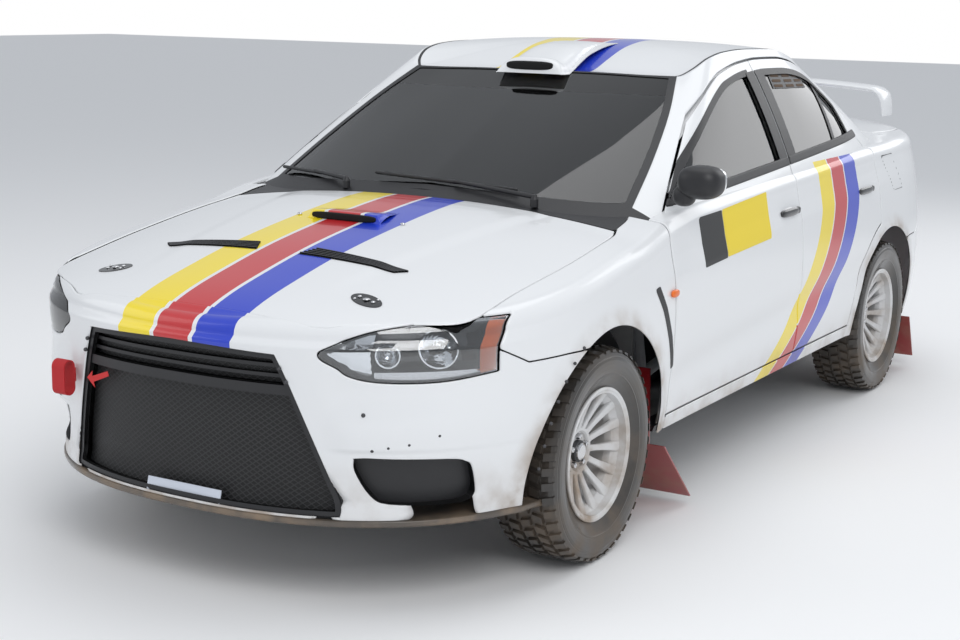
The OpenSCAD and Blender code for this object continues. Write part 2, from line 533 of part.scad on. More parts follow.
// ---- underside, cage and cabin
skirt_x = side_x(250) - 2;
floor_half = skirt_x - 90 - seat_gap;
tunnel = 125;
module floor_pan() color([0.6, 0.61, 0.62]) {
  rear_half = wheel_x - tyre_w / 2 - 106;
  front_y = at_cabin(-880);
  wheel_front = axle_r - arch_r - 12;
  difference() {
    union() {
      translate([-floor_half, front_y, floor_z]) cube([2 * floor_half, wheel_front - front_y, 16]);
      translate([-rear_half, wheel_front - 16, floor_z]) cube([2 * rear_half, 16, 250]);
      translate([-floor_half + 20, front_y - 16, floor_z]) cube([2 * floor_half - 40, 16.5, 570]);
    }
    translate([-tunnel, front_y - 30, floor_z - 1]) cube([2 * tunnel, wheel_front - front_y + 60, 140]);
  }
  translate([-tunnel - 15, front_y, floor_z + 8]) difference() {
    cube([2 * tunnel + 30, wheel_front - front_y, 145]);
    translate([15, -1, -10]) cube([2 * tunnel, wheel_front - front_y + 2, 141]);
  }
  translate([-rear_half, wheel_front - 16, floor_z + 234]) cube([2 * rear_half, tail_end - 130 - wheel_front, 16]);
}
liner_x = wheel_x - tyre_w / 2 - 37;
module wheel_liners() color([0.09, 0.09, 0.1]) both_sides() for (y = [axle_f, axle_r])
  translate([liner_x, y, tyre_r]) rotate([0, 90, 0]) rotate([0, 0, 100])
    rotate_extrude(angle = 160, $fn = 64) polygon([[arch_r + 6, 0], [arch_r + 12, 0],
      [arch_r + 12, half_w - frame_t - 32 - liner_x], [arch_r + 6, half_w - frame_t - 32 - liner_x]]);
// Side view of a flap behind its axle: a straight upper part and a lower one that leans back by its foot.
flap_knee = 250;
module flap_part(from, to, x0, x1) translate([x0, 0, 0]) rotate([90, 0, 90]) linear_extrude(x1 - x0)
  polygon([from, [from[0] + 8, from[1]], [to[0] + 8, to[1]], to]);
module mud_flaps() color([0.5, 0.06, 0.07]) both_sides() for (f = [[axle_f, 264, 30], [axle_r, 132, 55]])
  translate([0, f[0] + arch_r, 0]) {
    flap_part([42, flap_knee - 1], [29, 500], wheel_x - 118, side_x(300) - panel_t - 28);
    flap_part([f[1], f[2]], [42, flap_knee], wheel_x - 118, side_x(300) + 14);
  }
module rod(p, q, r) {
  d = q - p;
  translate(p) rotate([0, acos(d[2] / norm(d)), atan2(d[1], d[0])]) cylinder(r = r, h = norm(d), $fn = 24);
}
// Steering axis of the left wheel, from the lower ball joint to the top mount.
king_low = [wheel_x - 60, axle_f, 205];
king_top = [wheel_x - 188, axle_f, 770];
king_dir = (king_top - king_low) / norm(king_top - king_low);
module front_suspension() color([0.2, 0.2, 0.21]) {
  translate([-330, axle_f - 10, 205]) cube([660, 210, 60]);
  both_sides() {
    translate([0, 0, 196]) linear_extrude(22)
      polygon([[300, axle_f - 6], [300, axle_f + 190], [340, axle_f + 190], [king_low[0] - 30, axle_f + 22],
               [king_low[0] + 16, axle_f + 18], [king_low[0] + 16, axle_f - 26], [king_low[0] - 40, axle_f - 26],
               [340, axle_f - 6]]);
    translate([king_top[0] - 85, king_top[1] - 85, king_top[2] + 10.5]) cube([170, 170, 14]);
    translate([430, axle_f - 330, 420]) cube([50, 720, 90]);
    translate([430, axle_f - 330, 500]) cube([50, 50, king_top[2] + 10.5 - 500]);
    translate([430, axle_f + 60, 500]) cube([50, 50, king_top[2] + 24 - 500]);
    translate([440, axle_f - 330, king_top[2] + 10.5]) cube([60, 440, 14]);
    translate([300, axle_f + 60, 215]) cube([40, 60, 260]);
    translate([300, axle_f + 60, 425]) cube([170, 60, 50]);
  }
}
module rear_suspension() color([0.2, 0.2, 0.21]) {
  translate([-300, axle_r - 120, 206]) cube([600, 50, 52]);
  translate([-300, axle_r + 130, 206]) cube([600, 50, 52]);
  both_sides() {
    translate([250, axle_r - 120, 206]) cube([50, 300, 52]);
    translate([285, axle_r - 110, 226]) cube([wheel_x - 385, 36, 30]);
    translate([285, axle_r + 134, 226]) cube([wheel_x - 385, 36, 30]);
    difference() {
      translate([wheel_x - 130, axle_r - 115, 225]) cube([34, 285, 190]);
      translate([wheel_x - 131, axle_r, tyre_r]) rotate([0, 90, 0]) cylinder(r = 22, h = 40, $fn = 48);
    }
    translate([wheel_x - 97, axle_r, tyre_r]) rotate([0, 90, 0]) difference() {
      cylinder(r = 60, h = 56, $fn = 48);
      translate([0, 0, -1]) cylinder(r = 22, h = 60, $fn = 48);
    }
    translate([wheel_x - 42, axle_r, tyre_r]) rotate([0, 90, 0]) cylinder(r = hub_bore_r - hub_gap, h = 62, $fn = 48);
    translate([wheel_x - 148, axle_r + 60, 345]) rotate([0, -4, 0]) cylinder(r = 26, h = 300, $fn = 32);
  }
}
module engine_block() color([0.35, 0.36, 0.38])
  translate([-400, axle_f - 440, 285]) cube([800, 400, 500]);
guard_z = 196 - seat_gap - guard_t;
module sump_guard() color([0.5, 0.5, 0.52])
  translate([-400, 0, 0]) rotate([90, 0, 90]) linear_extrude(800)
    polygon([[nose_front + 300, guard_z + 36], [axle_f - 420, guard_z], [axle_f + 180, guard_z],
             [axle_f + 180, guard_z + guard_t], [axle_f - 420, guard_z + guard_t],
             [nose_front + 300, guard_z + 36 + guard_t]]);
exhaust_x = 430;
exhaust_z = 250;
module exhaust() color([0.45, 0.44, 0.42]) {
  x = 84;
  low = 168;
  rod([x, axle_f + 250, low], [x, axle_r - 420, low], 32);
  rod([x, axle_f + 250, low], [x, axle_f + 250, 420], 32);
  rod([x, axle_f + 250, 420], [x, axle_f - 39.7, 420], 32);
  for (z = [low, 420]) translate([x, axle_f + 250, z]) sphere(r = 32.5, $fn = 32);
  rod([x, axle_r - 420, low], [x, axle_r + 300, low], 32);
  rod([x, axle_r + 300, low], [x, axle_r + 360, 250], 32);
  translate([x, axle_r + 300, low]) sphere(r = 32.5, $fn = 32);
  rod([exhaust_x, axle_r + 470, exhaust_z], [exhaust_x, tail_end - 6, exhaust_z], 48);
  translate([-40, axle_r + 330, 205]) cube([520, 170, 100]);
}
module driveline() color([0.3, 0.3, 0.31]) {
  translate([-150, axle_r - 68, 240]) cube([300, 176, 170]);
  rod([0, axle_f - 30, 306], [0, axle_r - 60, 306], 36);
  both_sides() {
    rod([140, axle_r, tyre_r], [wheel_x - 44, axle_r, tyre_r], 15);
    rod([wheel_x - 350, axle_f, tyre_r], [wheel_x - 250, axle_f, tyre_r], 15);
  }
}

// columns of a tube: x, y, z at one end and x, y, z at the other, on the car's left
cage_top = 1300 + roof_up;
foot_z = floor_z + 16 + tube_r + 0.5;
cage_tubes = [
  [490, -140, cage_top - 26, 606, -700, 965], [606, -700, 965, 690, -690, foot_z],
  [690, 300, foot_z, 632, 300, 1000], [632, 300, 1000, 520, 300, cage_top],
  [520, 300, cage_top, 490, -140, cage_top - 26], [520, 300, cage_top, 490, 1180, 1000],
  [490, 1180, 1000, 480, 1240, floor_z + 250 + tube_r + 0.5], [672, 300, 560, 684, -690, 420],
  [682, 300, 380, 660, -690, 640]
];
cage_cross = [[520, 300, cage_top, -520, 300, cage_top], [490, -140, cage_top - 26, -490, -140, cage_top - 26],
  [650, 300, 760, -650, 300, 760], [-520, 300, cage_top, 490, 1180, 1000], [520, 300, cage_top, -490, -140, cage_top - 26]];
module cage_tube(p, q) hull() { translate(p) sphere(r = tube_r, $fn = 12); translate(q) sphere(r = tube_r, $fn = 12); }
module roll_cage() color([0.85, 0.87, 0.88]) {
  both_sides() for (t = cage_tubes) cage_tube([t[0], at_cabin(t[1]), t[2]], [t[3], at_cabin(t[4]), t[5]]);
  for (t = cage_cross) cage_tube([t[0], at_cabin(t[1]), t[2]], [t[3], at_cabin(t[4]), t[5]]);
}
seat_x = 378;
module seats() color([0.1, 0.1, 0.11]) for (x = [-seat_x, seat_x]) translate([x, at_cabin(40), floor_z + 16.3]) {
  hull() for (p = [[0, -420, 110], [0, -20, 60]]) translate(p) cube([380, 120, 50], center = true);
  hull() for (p = [[0, 30, 90], [0, 170, 660]]) translate(p) cube([400, 50, 60], center = true);
  hull() for (p = [[0, 170, 660], [0, 195, 800]]) translate(p) cube([300, 50, 60], center = true);
  for (s = [-1, 1]) {
    hull() for (p = [[s * 200, -380, 160], [s * 215, 20, 150]]) translate(p) cube([40, 160, 130], center = true);
    hull() for (p = [[s * 210, 20, 160], [s * 225, 110, 560]]) translate(p) cube([40, 160, 100], center = true);
    hull() for (p = [[s * 160, 130, 700], [s * 160, 150, 800]]) translate(p) cube([30, 120, 60], center = true);
  }
  for (s = [-1, 1]) translate([s * 160, -200, 45]) cube([20, 440, 90], center = true);
}
dash_half = 566;
wheel_centre = [seat_x, at_cabin(-400), 930];
module dashboard() color([0.11, 0.11, 0.12]) difference() {
  translate([-dash_half, at_cabin(0), 0]) rotate([90, 0, 90]) linear_extrude(2 * dash_half)
    polygon([[-855, 700], [-640, 700], [-560, 800], [-545, 905], [-600, 950], [-855, 925]]);
  translate(wheel_centre) rotate([-68, 0, 0]) translate([0, 0, -220]) cylinder(r = 24 + 2 * hub_gap, h = 200, $fn = 32);
}
module steering_wheel() color([0.08, 0.08, 0.08]) translate(wheel_centre) rotate([-68, 0, 0]) {
  rotate_extrude($fn = 64) translate([162, 0]) circle(r = 14, $fn = 24);
  for (a = [0, 120, 240]) rotate([0, 0, a + 90]) translate([20, -12, -3]) cube([140, 24, 6]);
  translate([0, 0, -204]) cylinder(r = 24, h = 212, $fn = 32);
}

// Where the nose's surface lies at a given x and height.
function nose_line(x, z) = let (c = pow(clamp(abs(x) / side_x(z), 0, 1), front_round / 2))
  front_turn - (front_turn - nose_y(z)) * pow(1 - c * c, 1 / front_round);
strap_x = -434;
strap_z = 552;
strap_half = 30;               // from the strap's middle to the centre of its end loop
module tow_strap() color([0.75, 0.08, 0.08])
  translate([strap_x, nose_line(strap_x + 6, strap_z + 20) - seat_gap - 44, strap_z]) difference() {
    union() {
      hull() for (z = [-strap_half, strap_half]) translate([0, 0, z])
        rotate([0, 90, 0]) cylinder(r = 22, h = 48, center = true, $fn = 32);
      translate([-24, 19, -20]) cube([30, 25, 40]);
    }
    hull() for (z = [-strap_half, strap_half]) translate([0, 0, z])
      rotate([0, 90, 0]) cylinder(r = 18, h = 60, center = true, $fn = 32);
  }
tow_x = -380;
tow_z = 222;
module rear_tow_eye() color([0.75, 0.08, 0.08]) translate([tow_x, tail_end - tow_eye_r - 20, tow_z]) rotate([0, 90, 0]) {
  translate([0, 0, -tow_eye_t / 2]) difference() {
    union() {
      cylinder(r = tow_eye_r + 18, h = tow_eye_t, $fn = 64);
      translate([-20, -130, 0]) cube([40, 110, tow_eye_t]);
      translate([tow_z - floor_z - 234 + seat_gap, -130, 0]) cube([floor_z + 234 - tow_z, 60, tow_eye_t]);
    }
    translate([0, 0, -1]) cylinder(r = tow_eye_r, h = tow_eye_t + 2, $fn = 64);
  }
}

// ---- steering knuckles, wheels and tyres
module knuckle(side) color([0.25, 0.25, 0.26]) on_side(side) {
  rod(king_low + king_dir * 24, king_low + king_dir * 150, 24);
  rod(king_low + king_dir * 120, king_top + king_dir * 4, 26);
  translate([wheel_x - 97, axle_f, tyre_r]) rotate([0, 90, 0]) cylinder(r = 60, h = 56, $fn = 48);
  translate([wheel_x - 42, axle_f, tyre_r]) rotate([0, 90, 0]) cylinder(r = hub_bore_r - hub_gap, h = 62, $fn = 48);
  translate([wheel_x - 128, axle_f - 26, tyre_r - 60]) cube([32, 60, 120]);
}
disc_r = 150;
module road_wheel(side, y) color([0.9, 0.91, 0.92]) on_side(side) translate([wheel_x, y, tyre_r]) rotate([0, 90, 0]) {
  half = rim_w / 2;
  rotate_extrude($fn = 96) polygon([[rim_r - 8, -half], [rim_r + 12, -half], [rim_r + 12, -half + 8], [rim_r, -half + 8],
    [rim_r, -half + 40], [rim_r - 18, -half + 62], [rim_r - 18, half - 62], [rim_r, half - 40], [rim_r, half - 8],
    [rim_r + 12, half - 8], [rim_r + 12, half], [rim_r - 6, half], [rim_r - 8, half - 30], [rim_r - 26, half - 56],
    [rim_r - 26, -half + 60], [rim_r - 8, -half + 40]]);
  difference() {
    translate([0, 0, -40.5]) cylinder(r = 74, h = 62, $fn = 64);
    translate([0, 0, -42]) cylinder(r = hub_bore_r, h = 70, $fn = 64);
  }
  for (i = [0:spokes - 1]) rotate([0, 0, i * 360 / spokes])
    translate([0, 7, 0]) rotate([90, 0, 0]) linear_extrude(14)
      polygon([[66, 0], [66, 20], [rim_r - 20, half - 26], [rim_r - 12, half - 34], [rim_r - 20, half - 58]]);
}
module tyre(side, y) color([0.05, 0.05, 0.05]) on_side(side) translate([wheel_x, y, tyre_r]) rotate([0, 90, 0])
  rotate_extrude($fn = 120) {
    half = tyre_w / 2;
    seat = rim_w / 2 - 8.3;
    r0 = rim_r + seat_gap;
    polygon([[r0, -seat], [r0 + 12.4, -seat], [r0 + 22, -seat - 2], [r0 + 60, -half], [tyre_r - 34, -half], [tyre_r - 10, -half + 10],
      [tyre_r, -half + 26], [tyre_r, half - 26], [tyre_r - 10, half - 10], [tyre_r - 34, half], [r0 + 60, half],
      [r0 + 22, seat + 2], [r0 + 12.4, seat], [r0, seat], [r0, seat - 24], [tyre_r - 34, half - 22], [tyre_r - 22, half - 36],
      [tyre_r - 22, -half + 36], [tyre_r - 34, -half + 22], [r0, -seat + 24]]);
  }

side_frames();
roof_panel();
floor_pan();
scuttle();
front_fenders();
front_bumper();
front_grille();
front_splitter();
headlights();
windscreen();
rear_window();
rear_bumper();
tail_lights();
side_skirts();
roof_vent();
wheel_liners();
mud_flaps();
front_suspension();
rear_suspension();
engine_block();
sump_guard();
exhaust();
driveline();
roll_cage();
seats();
dashboard();
steering_wheel();
wipers();
tow_strap();
rear_tow_eye();
bonnet();
bonnet_vents();
boot_lid();
rear_wing();
door(front_rows_gapped, front_window_rows, 1);  // front_left_door
door(front_rows_gapped, front_window_rows, -1);  // front_right_door
door(rear_rows_gapped, rear_window_rows, 1);  // rear_left_door
door(rear_rows_gapped, rear_window_rows, -1);  // rear_right_door
door_window(front_window_rows, 1);  // front_left_window
door_window(front_window_rows, -1);  // front_right_window
door_window(rear_window_rows, 1);  // rear_left_window
door_window(rear_window_rows, -1);  // rear_right_window
left_mirror();
knuckle(1);  // front_left_knuckle
knuckle(-1);  // front_right_knuckle
road_wheel(1, axle_f);  // front_left_wheel
road_wheel(-1, axle_f);  // front_right_wheel
road_wheel(1, axle_r);  // rear_left_wheel
road_wheel(-1, axle_r);  // rear_right_wheel
tyre(1, axle_f);  // front_left_tyre
tyre(-1, axle_f);  // front_right_tyre
tyre(1, axle_r);  // rear_left_tyre
tyre(-1, axle_r);  // rear_right_tyre
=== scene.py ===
import json
import math

import bpy
import numpy as np
from mathutils import Matrix, Vector


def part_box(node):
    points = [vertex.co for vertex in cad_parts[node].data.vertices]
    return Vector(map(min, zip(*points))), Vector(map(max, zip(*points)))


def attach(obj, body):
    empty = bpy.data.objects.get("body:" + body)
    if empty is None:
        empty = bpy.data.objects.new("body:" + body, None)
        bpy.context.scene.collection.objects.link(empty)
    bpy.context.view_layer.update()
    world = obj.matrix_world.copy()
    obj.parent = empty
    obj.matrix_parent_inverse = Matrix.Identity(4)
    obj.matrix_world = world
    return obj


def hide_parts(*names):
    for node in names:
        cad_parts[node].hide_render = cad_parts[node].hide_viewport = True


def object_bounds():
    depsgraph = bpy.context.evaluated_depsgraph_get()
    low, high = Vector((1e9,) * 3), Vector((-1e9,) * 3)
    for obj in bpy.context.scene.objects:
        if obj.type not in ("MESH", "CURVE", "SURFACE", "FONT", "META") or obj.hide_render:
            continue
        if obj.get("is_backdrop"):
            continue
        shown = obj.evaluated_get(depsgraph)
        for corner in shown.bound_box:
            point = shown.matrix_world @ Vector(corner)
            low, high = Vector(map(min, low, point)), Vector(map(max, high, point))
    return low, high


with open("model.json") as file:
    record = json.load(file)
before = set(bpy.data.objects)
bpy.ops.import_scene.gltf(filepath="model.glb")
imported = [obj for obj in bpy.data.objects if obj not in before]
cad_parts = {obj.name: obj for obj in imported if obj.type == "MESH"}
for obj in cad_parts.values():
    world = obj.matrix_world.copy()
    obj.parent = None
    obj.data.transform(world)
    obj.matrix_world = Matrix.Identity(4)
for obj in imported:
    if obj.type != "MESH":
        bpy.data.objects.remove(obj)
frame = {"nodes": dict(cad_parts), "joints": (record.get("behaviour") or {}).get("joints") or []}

cad_box = [list(corner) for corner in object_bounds()]

# ---- Body shell lines
# The monocoque's outer form, which every pressed panel, bumper and window of the car follows. Lengths are in
# millimetres and become metres when a mesh is made; axles, track and overall sizes come from the frame.
joint_at = {j["name"]: np.array(j["pos_m"]) * 1000 for j in frame["joints"]}
wheel_x, axle_f, tyre_r = joint_at["front_left_spin"]
axle_r = joint_at["rear_left_spin"][1]
tail_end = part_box("rear_bumper")[1][1] * 1000
nose_front = axle_f - 900
half_w = -cad_box[0][0] * 1000
roof_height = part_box("roof_panel")[1][2] * 1000
body_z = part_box("front_bumper")[0][2] * 1000
frame_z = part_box("side_frames")[0][2] * 1000
door_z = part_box("front_left_door")[0][2] * 1000
front_turn, rear_turn = axle_f - 60, axle_r + 60
belt, nose_z, arch_r, shoulder_r = 620, 735, 388, 46
gap = 7


def cabin(y):
    """y of a point between the axles, measured from 7.5 mm behind the car's middle."""
    return axle_f + (np.asarray(y, float) + 1350) * (axle_r - axle_f) / 2650


def curve(at, knots, values):
    """A smooth line through a table: cubic Hermite pieces whose slopes are the harmonic mean of the neighbours'."""
    knots, values = np.asarray(knots, float), np.asarray(values, float)
    step = np.diff(knots)
    slope = np.diff(values) / step
    inner = np.where(slope[1:] * slope[:-1] > 0, 2 * slope[1:] * slope[:-1] / (slope[1:] + slope[:-1] + 1e-12), 0)
    tangent = np.concatenate([slope[:1], inner, slope[-1:]])
    at = np.clip(at, knots[0], knots[-1])
    i = np.clip(np.searchsorted(knots, at, side="right") - 1, 0, len(step) - 1)
    s = (at - knots[i]) / step[i]
    return (values[i] * (2 * s**3 - 3 * s**2 + 1) + values[i + 1] * (3 * s**2 - 2 * s**3)
            + step[i] * (tangent[i] * (s**3 - 2 * s**2 + s) + tangent[i + 1] * (s**3 - s**2)))


def ease(v, low, high):
    """0 below low, 1 above high, and a smooth step 3s^2 - 2s^3 between them."""
    s = np.clip((v - low) / (high - low), 0, 1)
    return s * s * (3 - 2 * s)


def bump(v, middle, width):
    """A bell exp(-((v - middle) / width)^2)."""
    return np.exp(-((v - middle) / width) ** 2)


def side_x(z):
    """Half width of the side at a height: a flat parabola, widest at the belt."""
    return half_w * (0.985 - 0.35 * ((z - belt) / 1000) ** 2)


def side_form(y, z):
    """What the pressed side adds: bells over both arches, a lip round each, two creases and a hollow over the sill."""
    over = sum(bump(y, a, 420) for a in (axle_f, axle_r))
    rim = sum(bump(np.hypot(y - a, z - tyre_r), arch_r + 4, 26) for a in (axle_f, axle_r))
    along = ease(y, axle_f + 300, axle_f + 600) * (1 - ease(y, axle_r - 420, axle_r - 120))
    crease = 800 + 0.05 * (y - cabin(-900))
    fold = np.clip(1 - np.abs(z - crease) / np.where(z > crease, 60, 200), 0, 1)
    return (8 * np.clip((950 - z) / 250, 0, 1) * over + 6 * rim * (z < 800)
            + 5 * fold * ease(y, axle_f + 200, axle_f + 420) * (1 - 0.6 * ease(y, axle_r - 200, axle_r + 300))
            - 11 * along * bump(z, 470 + 0.06 * (y - axle_f - 500), 58))


def nose_form(x, z):
    """What the front bumper's moulding adds forwards: a fold over the fog openings and a kick out to the splitter."""
    outer = ease(np.abs(x), 430, 520)
    return (9 * bump(z, 520, 60) * outer + 7 * ease(z, 452, 462) * (1 - ease(z, 470, 600)) * outer
            - 8 * bump(z, 620, 50) * outer + 14 * (1 - ease(z, body_z, 320)))


def nose_y(z):
    """Line of the nose on the centre plane, front of the car at -y."""
    return nose_front + np.where(z < nose_z, 0.095 * (nose_z - z), 1.1 * (z - nose_z))


def tail_y(z):
    """Line of the tail on the centre plane."""
    return tail_end - 0.16 * np.clip(z - belt, 0, None) - 0.35 * np.clip(330 - z, 0, None)


top_knots = np.array([nose_front - 60, nose_front + 8, nose_front + 88, nose_front + 340, axle_f - 165, axle_f + 230,
                      *cabin([-870, -600, 0, 900]), axle_r + 140, axle_r + 300, tail_end - 130, tail_end + 60])
top_middle = [700, 742, 806, 876, 948, 996, 1010, 1024, 1045, 1075, 1108, 1120, 1118, 1095]
top_fall = [100, 104, 106, 106, 104, 92, 50, 34, 32, 34, 62, 70, 72, 72]


def top_z(x, y):
    """Height of bonnet, waist and boot: the centre line's height less a fall that grows as |x|^2.2."""
    return curve(y, top_knots, top_middle) - curve(y, top_knots, top_fall) * (np.abs(x) / half_w) ** 2.2


def plan_point(t, z, inset, pull=1.0):
    """Plan outline at height z. t: 0 to 1 a superellipse round the nose, 1 to 2 the side, 2 to 3 one round the tail."""
    a = np.radians(90 * np.where(t < 1, 1 - t, np.clip(t - 2, 0, 1)))
    power = np.where(t < 1, 2 / 2.4, 2 / 3.4)
    c, s = np.cos(a).clip(0) ** power, np.sin(a).clip(0) ** power
    front = front_turn - (front_turn - nose_y(z) - inset) * s
    rear = rear_turn + (tail_y(z) - rear_turn - inset) * s
    along = front_turn + (rear_turn - front_turn) * (t - 1)
    y = np.where(t < 1, front, np.where(t > 2, rear, along))
    x = (side_x(z) + side_form(y, z) - inset) * np.where((t < 1) | (t > 2), c, 1) * pull
    y = y - np.where(t < 1, nose_form(x, z) * s, 0)
    hub = np.where(t < 1, front_turn, np.where(t > 2, rear_turn, y))
    return x, hub + (y - hub) * pull


def lower_skin(t_from, t_to, steps, low, rows=46, pulls=(1, 0.97, 0.94, 0.9, 0.85, 0.8, 0.75)):
    """Side, nose or tail from z = low up, over the shoulder's quarter circle and in over the top by each pull.
    t under 0 or over 3 runs on along the car's right."""
    t = np.linspace(t_from, t_to, steps)
    sign = np.where((t < 0) | (t > 3), -1.0, 1.0)
    t = np.where(t > 3, 6 - t, np.abs(t))
    x0, y0 = plan_point(t, 800.0, 0)
    start = top_z(x0, y0) - shoulder_r
    grid = []
    for v in np.linspace(0, 1, rows):
        z = low + (start - low) * v
        grid.append([*plan_point(t, z, 0), z])
    xr, yr = plan_point(t, start, shoulder_r)
    ztop = top_z(xr, yr)
    for a in np.radians(np.arange(10, 90, 10)):
        grid.append([*plan_point(t, start, shoulder_r * (1 - np.cos(a))), start + (ztop - start) * np.sin(a)])
    for pull in pulls:
        x, y = plan_point(t, start, shoulder_r, pull)
        grid.append([x, y, top_z(x, y)])
    points = np.array(grid).transpose(0, 2, 1)
    points[:, :, 0] *= sign
    return Skin.grid(points)


class Skin:
    """Points, their outward normals and the triangles of one open surface, in millimetres."""

    def __init__(self, points, normals, faces):
        self.points, self.normals, self.faces = points, normals, faces

    @classmethod
    def grid(cls, points, outwards=(0, 0, 0)):
        """Triangles over a grid of points. Normals are the cross product of its two directions, turned outwards."""
        rows, cols = points.shape[:2]
        a = (np.arange(rows - 1)[:, None] * cols + np.arange(cols - 1)).ravel()
        faces = np.concatenate([np.stack([a, a + 1, a + cols + 1], 1), np.stack([a, a + cols + 1, a + cols], 1)])
        normals = np.cross(np.gradient(points, axis=1), np.gradient(points, axis=0)).reshape(-1, 3)
        normals /= np.linalg.norm(normals, axis=1)[:, None] + 1e-9
        flat = points.reshape(-1, 3)
        middle = np.array([0, np.clip(flat[:, 1].mean(), axle_f, axle_r), 650]) + outwards
        if ((flat - middle) * normals).sum() < 0:
            normals, faces = -normals, faces[:, ::-1]
        return cls(flat, normals, faces)

    def __add__(self, other):
        return Skin(np.vstack([self.points, other.points]), np.vstack([self.normals, other.normals]),
                    np.vstack([self.faces, other.faces + len(self.points)]))

    def split(self, field, keep_both=False):
        """Cuts the triangles along field = 0, linear in each, and keeps where it is positive, or both sides."""
        field = np.where(np.abs(field) < 0.02, 0.02, field)
        inside = field[self.faces] > 0
        count = inside.sum(1)
        mixed = self.faces[(count == 1) | (count == 2)]
        odd = (inside[(count == 1) | (count == 2)].sum(1) == 1)
        lone = np.where(odd, np.argmax(inside[(count == 1) | (count == 2)], 1),
                        np.argmin(inside[(count == 1) | (count == 2)], 1))
        turn = (lone[:, None] + np.arange(3)) % 3
        a, b, c = np.take_along_axis(mixed, turn, 1).T
        edges = np.sort(np.vstack([np.stack([a, b], 1), np.stack([a, c], 1)]), 1)
        edges, place = np.unique(edges, axis=0, return_inverse=True)
        place = place.reshape(-1) + len(self.points)
        f0, f1 = field[edges[:, 0]], field[edges[:, 1]]
        w = (f0 / (f0 - f1))[:, None]
        mid = lambda v: v[edges[:, 0]] * (1 - w) + v[edges[:, 1]] * w
        ab, ac = place[:len(a)], place[len(a):]
        tip, one, two = np.stack([a, ab, ac], 1), np.stack([ab, b, c], 1), np.stack([ab, c, ac], 1)
        kept = [self.faces[count == 3]]
        if keep_both:
            kept += [self.faces[count == 0], tip, one, two]
        else:
            kept += [tip[odd], one[~odd], two[~odd]]
        faces = np.vstack(kept)
        used, faces = np.unique(faces, return_inverse=True)
        return Skin(np.vstack([self.points, mid(self.points)])[used],
                    np.vstack([self.normals, mid(self.normals)])[used], faces.reshape(-1, 3))

    def trimmed(self, keep, roll=0.0):
        """Cut to where keep(points) > 0. The last roll millimetres turn down in a quarter circle, as a folded edge."""
        skin = self
        for level in (roll, roll * 0.5, roll * 0.15) if roll else ():
            skin = skin.split(keep(skin.points) - level, True)
        skin = skin.split(keep(skin.points))
        if roll:
            d = np.clip(keep(skin.points) / roll, 0, 1)
            rim = d < 1
            at, up, d = skin.points[rim], skin.normals[rim], d[rim]
            slope = np.stack([keep(at + n) - keep(at - n) for n in np.eye(3) * 0.5], 1)
            slope -= (slope * up).sum(1)[:, None] * up
            slope /= np.linalg.norm(slope, axis=1)[:, None] + 1e-9
            skin.points, skin.normals = skin.points.copy(), skin.normals.copy()
            skin.points[rim] = at - up * (roll * (1 - np.sqrt(1 - (1 - d) ** 2)))[:, None]
            tilt = ((1 - d) * 0.94)[:, None]
            skin.normals[rim] = up * np.sqrt(1 - tilt**2) - slope * tilt
        return skin

    def thick(self, depth):
        """A closed wall: the skin, a copy depth below it, and a rim along every edge that only one triangle has."""
        n = len(self.points)
        pairs = np.vstack([self.faces[:, [0, 1]], self.faces[:, [1, 2]], self.faces[:, [2, 0]]])
        _, first, count = np.unique(np.sort(pairs, 1), axis=0, return_index=True, return_counts=True)
        p, q = pairs[first[count == 1]].T
        rim = np.vstack([np.stack([q, p, p + n], 1), np.stack([q, p + n, q + n], 1)])
        return Skin(np.vstack([self.points, self.points - self.normals * depth]),
                    np.vstack([self.normals, -self.normals]),
                    np.vstack([self.faces, self.faces[:, ::-1] + n, rim]))

    def raised(self, height):
        """The skin moved along its normals, by one height or by one for each point."""
        move = self.normals * np.reshape(height, (-1, 1))
        return Skin(self.points + move, self.normals, self.faces)

    def mirrored(self):
        return Skin(self.points * [-1, 1, 1], self.normals * [-1, 1, 1], self.faces[:, ::-1])


def build(name, skin, finish, body="shell", stands_for=()):
    """Makes the Blender object of a skin, in metres, rides it on its body and hides the CAD parts it stands for."""
    mesh = bpy.data.meshes.new(name)
    mesh.from_pydata(skin.points * 0.001, [], skin.faces.tolist())
    mesh.polygons.foreach_set("use_smooth", np.full(len(mesh.polygons), True))
    mesh.update()
    mesh.normals_split_custom_set_from_vertices(skin.normals.tolist())
    piece = bpy.data.objects.new(name, mesh)
    bpy.context.scene.collection.objects.link(piece)
    mesh.materials.append(finish.material)
    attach(piece, body)
    if stands_for:
        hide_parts(*stands_for)


def build_pair(name, skin, finish, body="shell", stands_for=()):
    """Builds a left piece and its mirror image; {} in the names becomes left and right."""
    for hand in ("left", "right"):
        build(name.format(hand), skin if hand == "left" else skin.mirrored(), finish, body.format(hand),
              [node.format(hand) for node in stands_for])


def joined(skins):
    """One skin of many."""
    skins = list(skins)
    starts = np.cumsum([0] + [len(s.points) for s in skins[:-1]])
    return Skin(np.vstack([s.points for s in skins]), np.vstack([s.normals for s in skins]),
                np.vstack([s.faces + start for s, start in zip(skins, starts)]))


def within(points, outline):
    """Distance inside a closed outline in its plane, in millimetres, and below 0 outside it."""
    points, outline = points.astype(np.float32), outline.astype(np.float32)
    a, b = outline, np.roll(outline, -1, 0)
    e = b - a
    d = points[:, None, :] - a
    t = np.clip((d * e).sum(2) / ((e * e).sum(1) + 1e-12), 0, 1)
    far = np.sqrt(((d - t[:, :, None] * e) ** 2).sum(2)).min(1)
    py, px = points[:, 1:2], points[:, 0:1]
    over = ((a[:, 1] > py) != (b[:, 1] > py)) & (px < e[:, 0] * (py - a[:, 1]) / (e[:, 1] + 1e-12) + a[:, 0])
    return np.where(over.sum(1) % 2 == 1, far, -far)


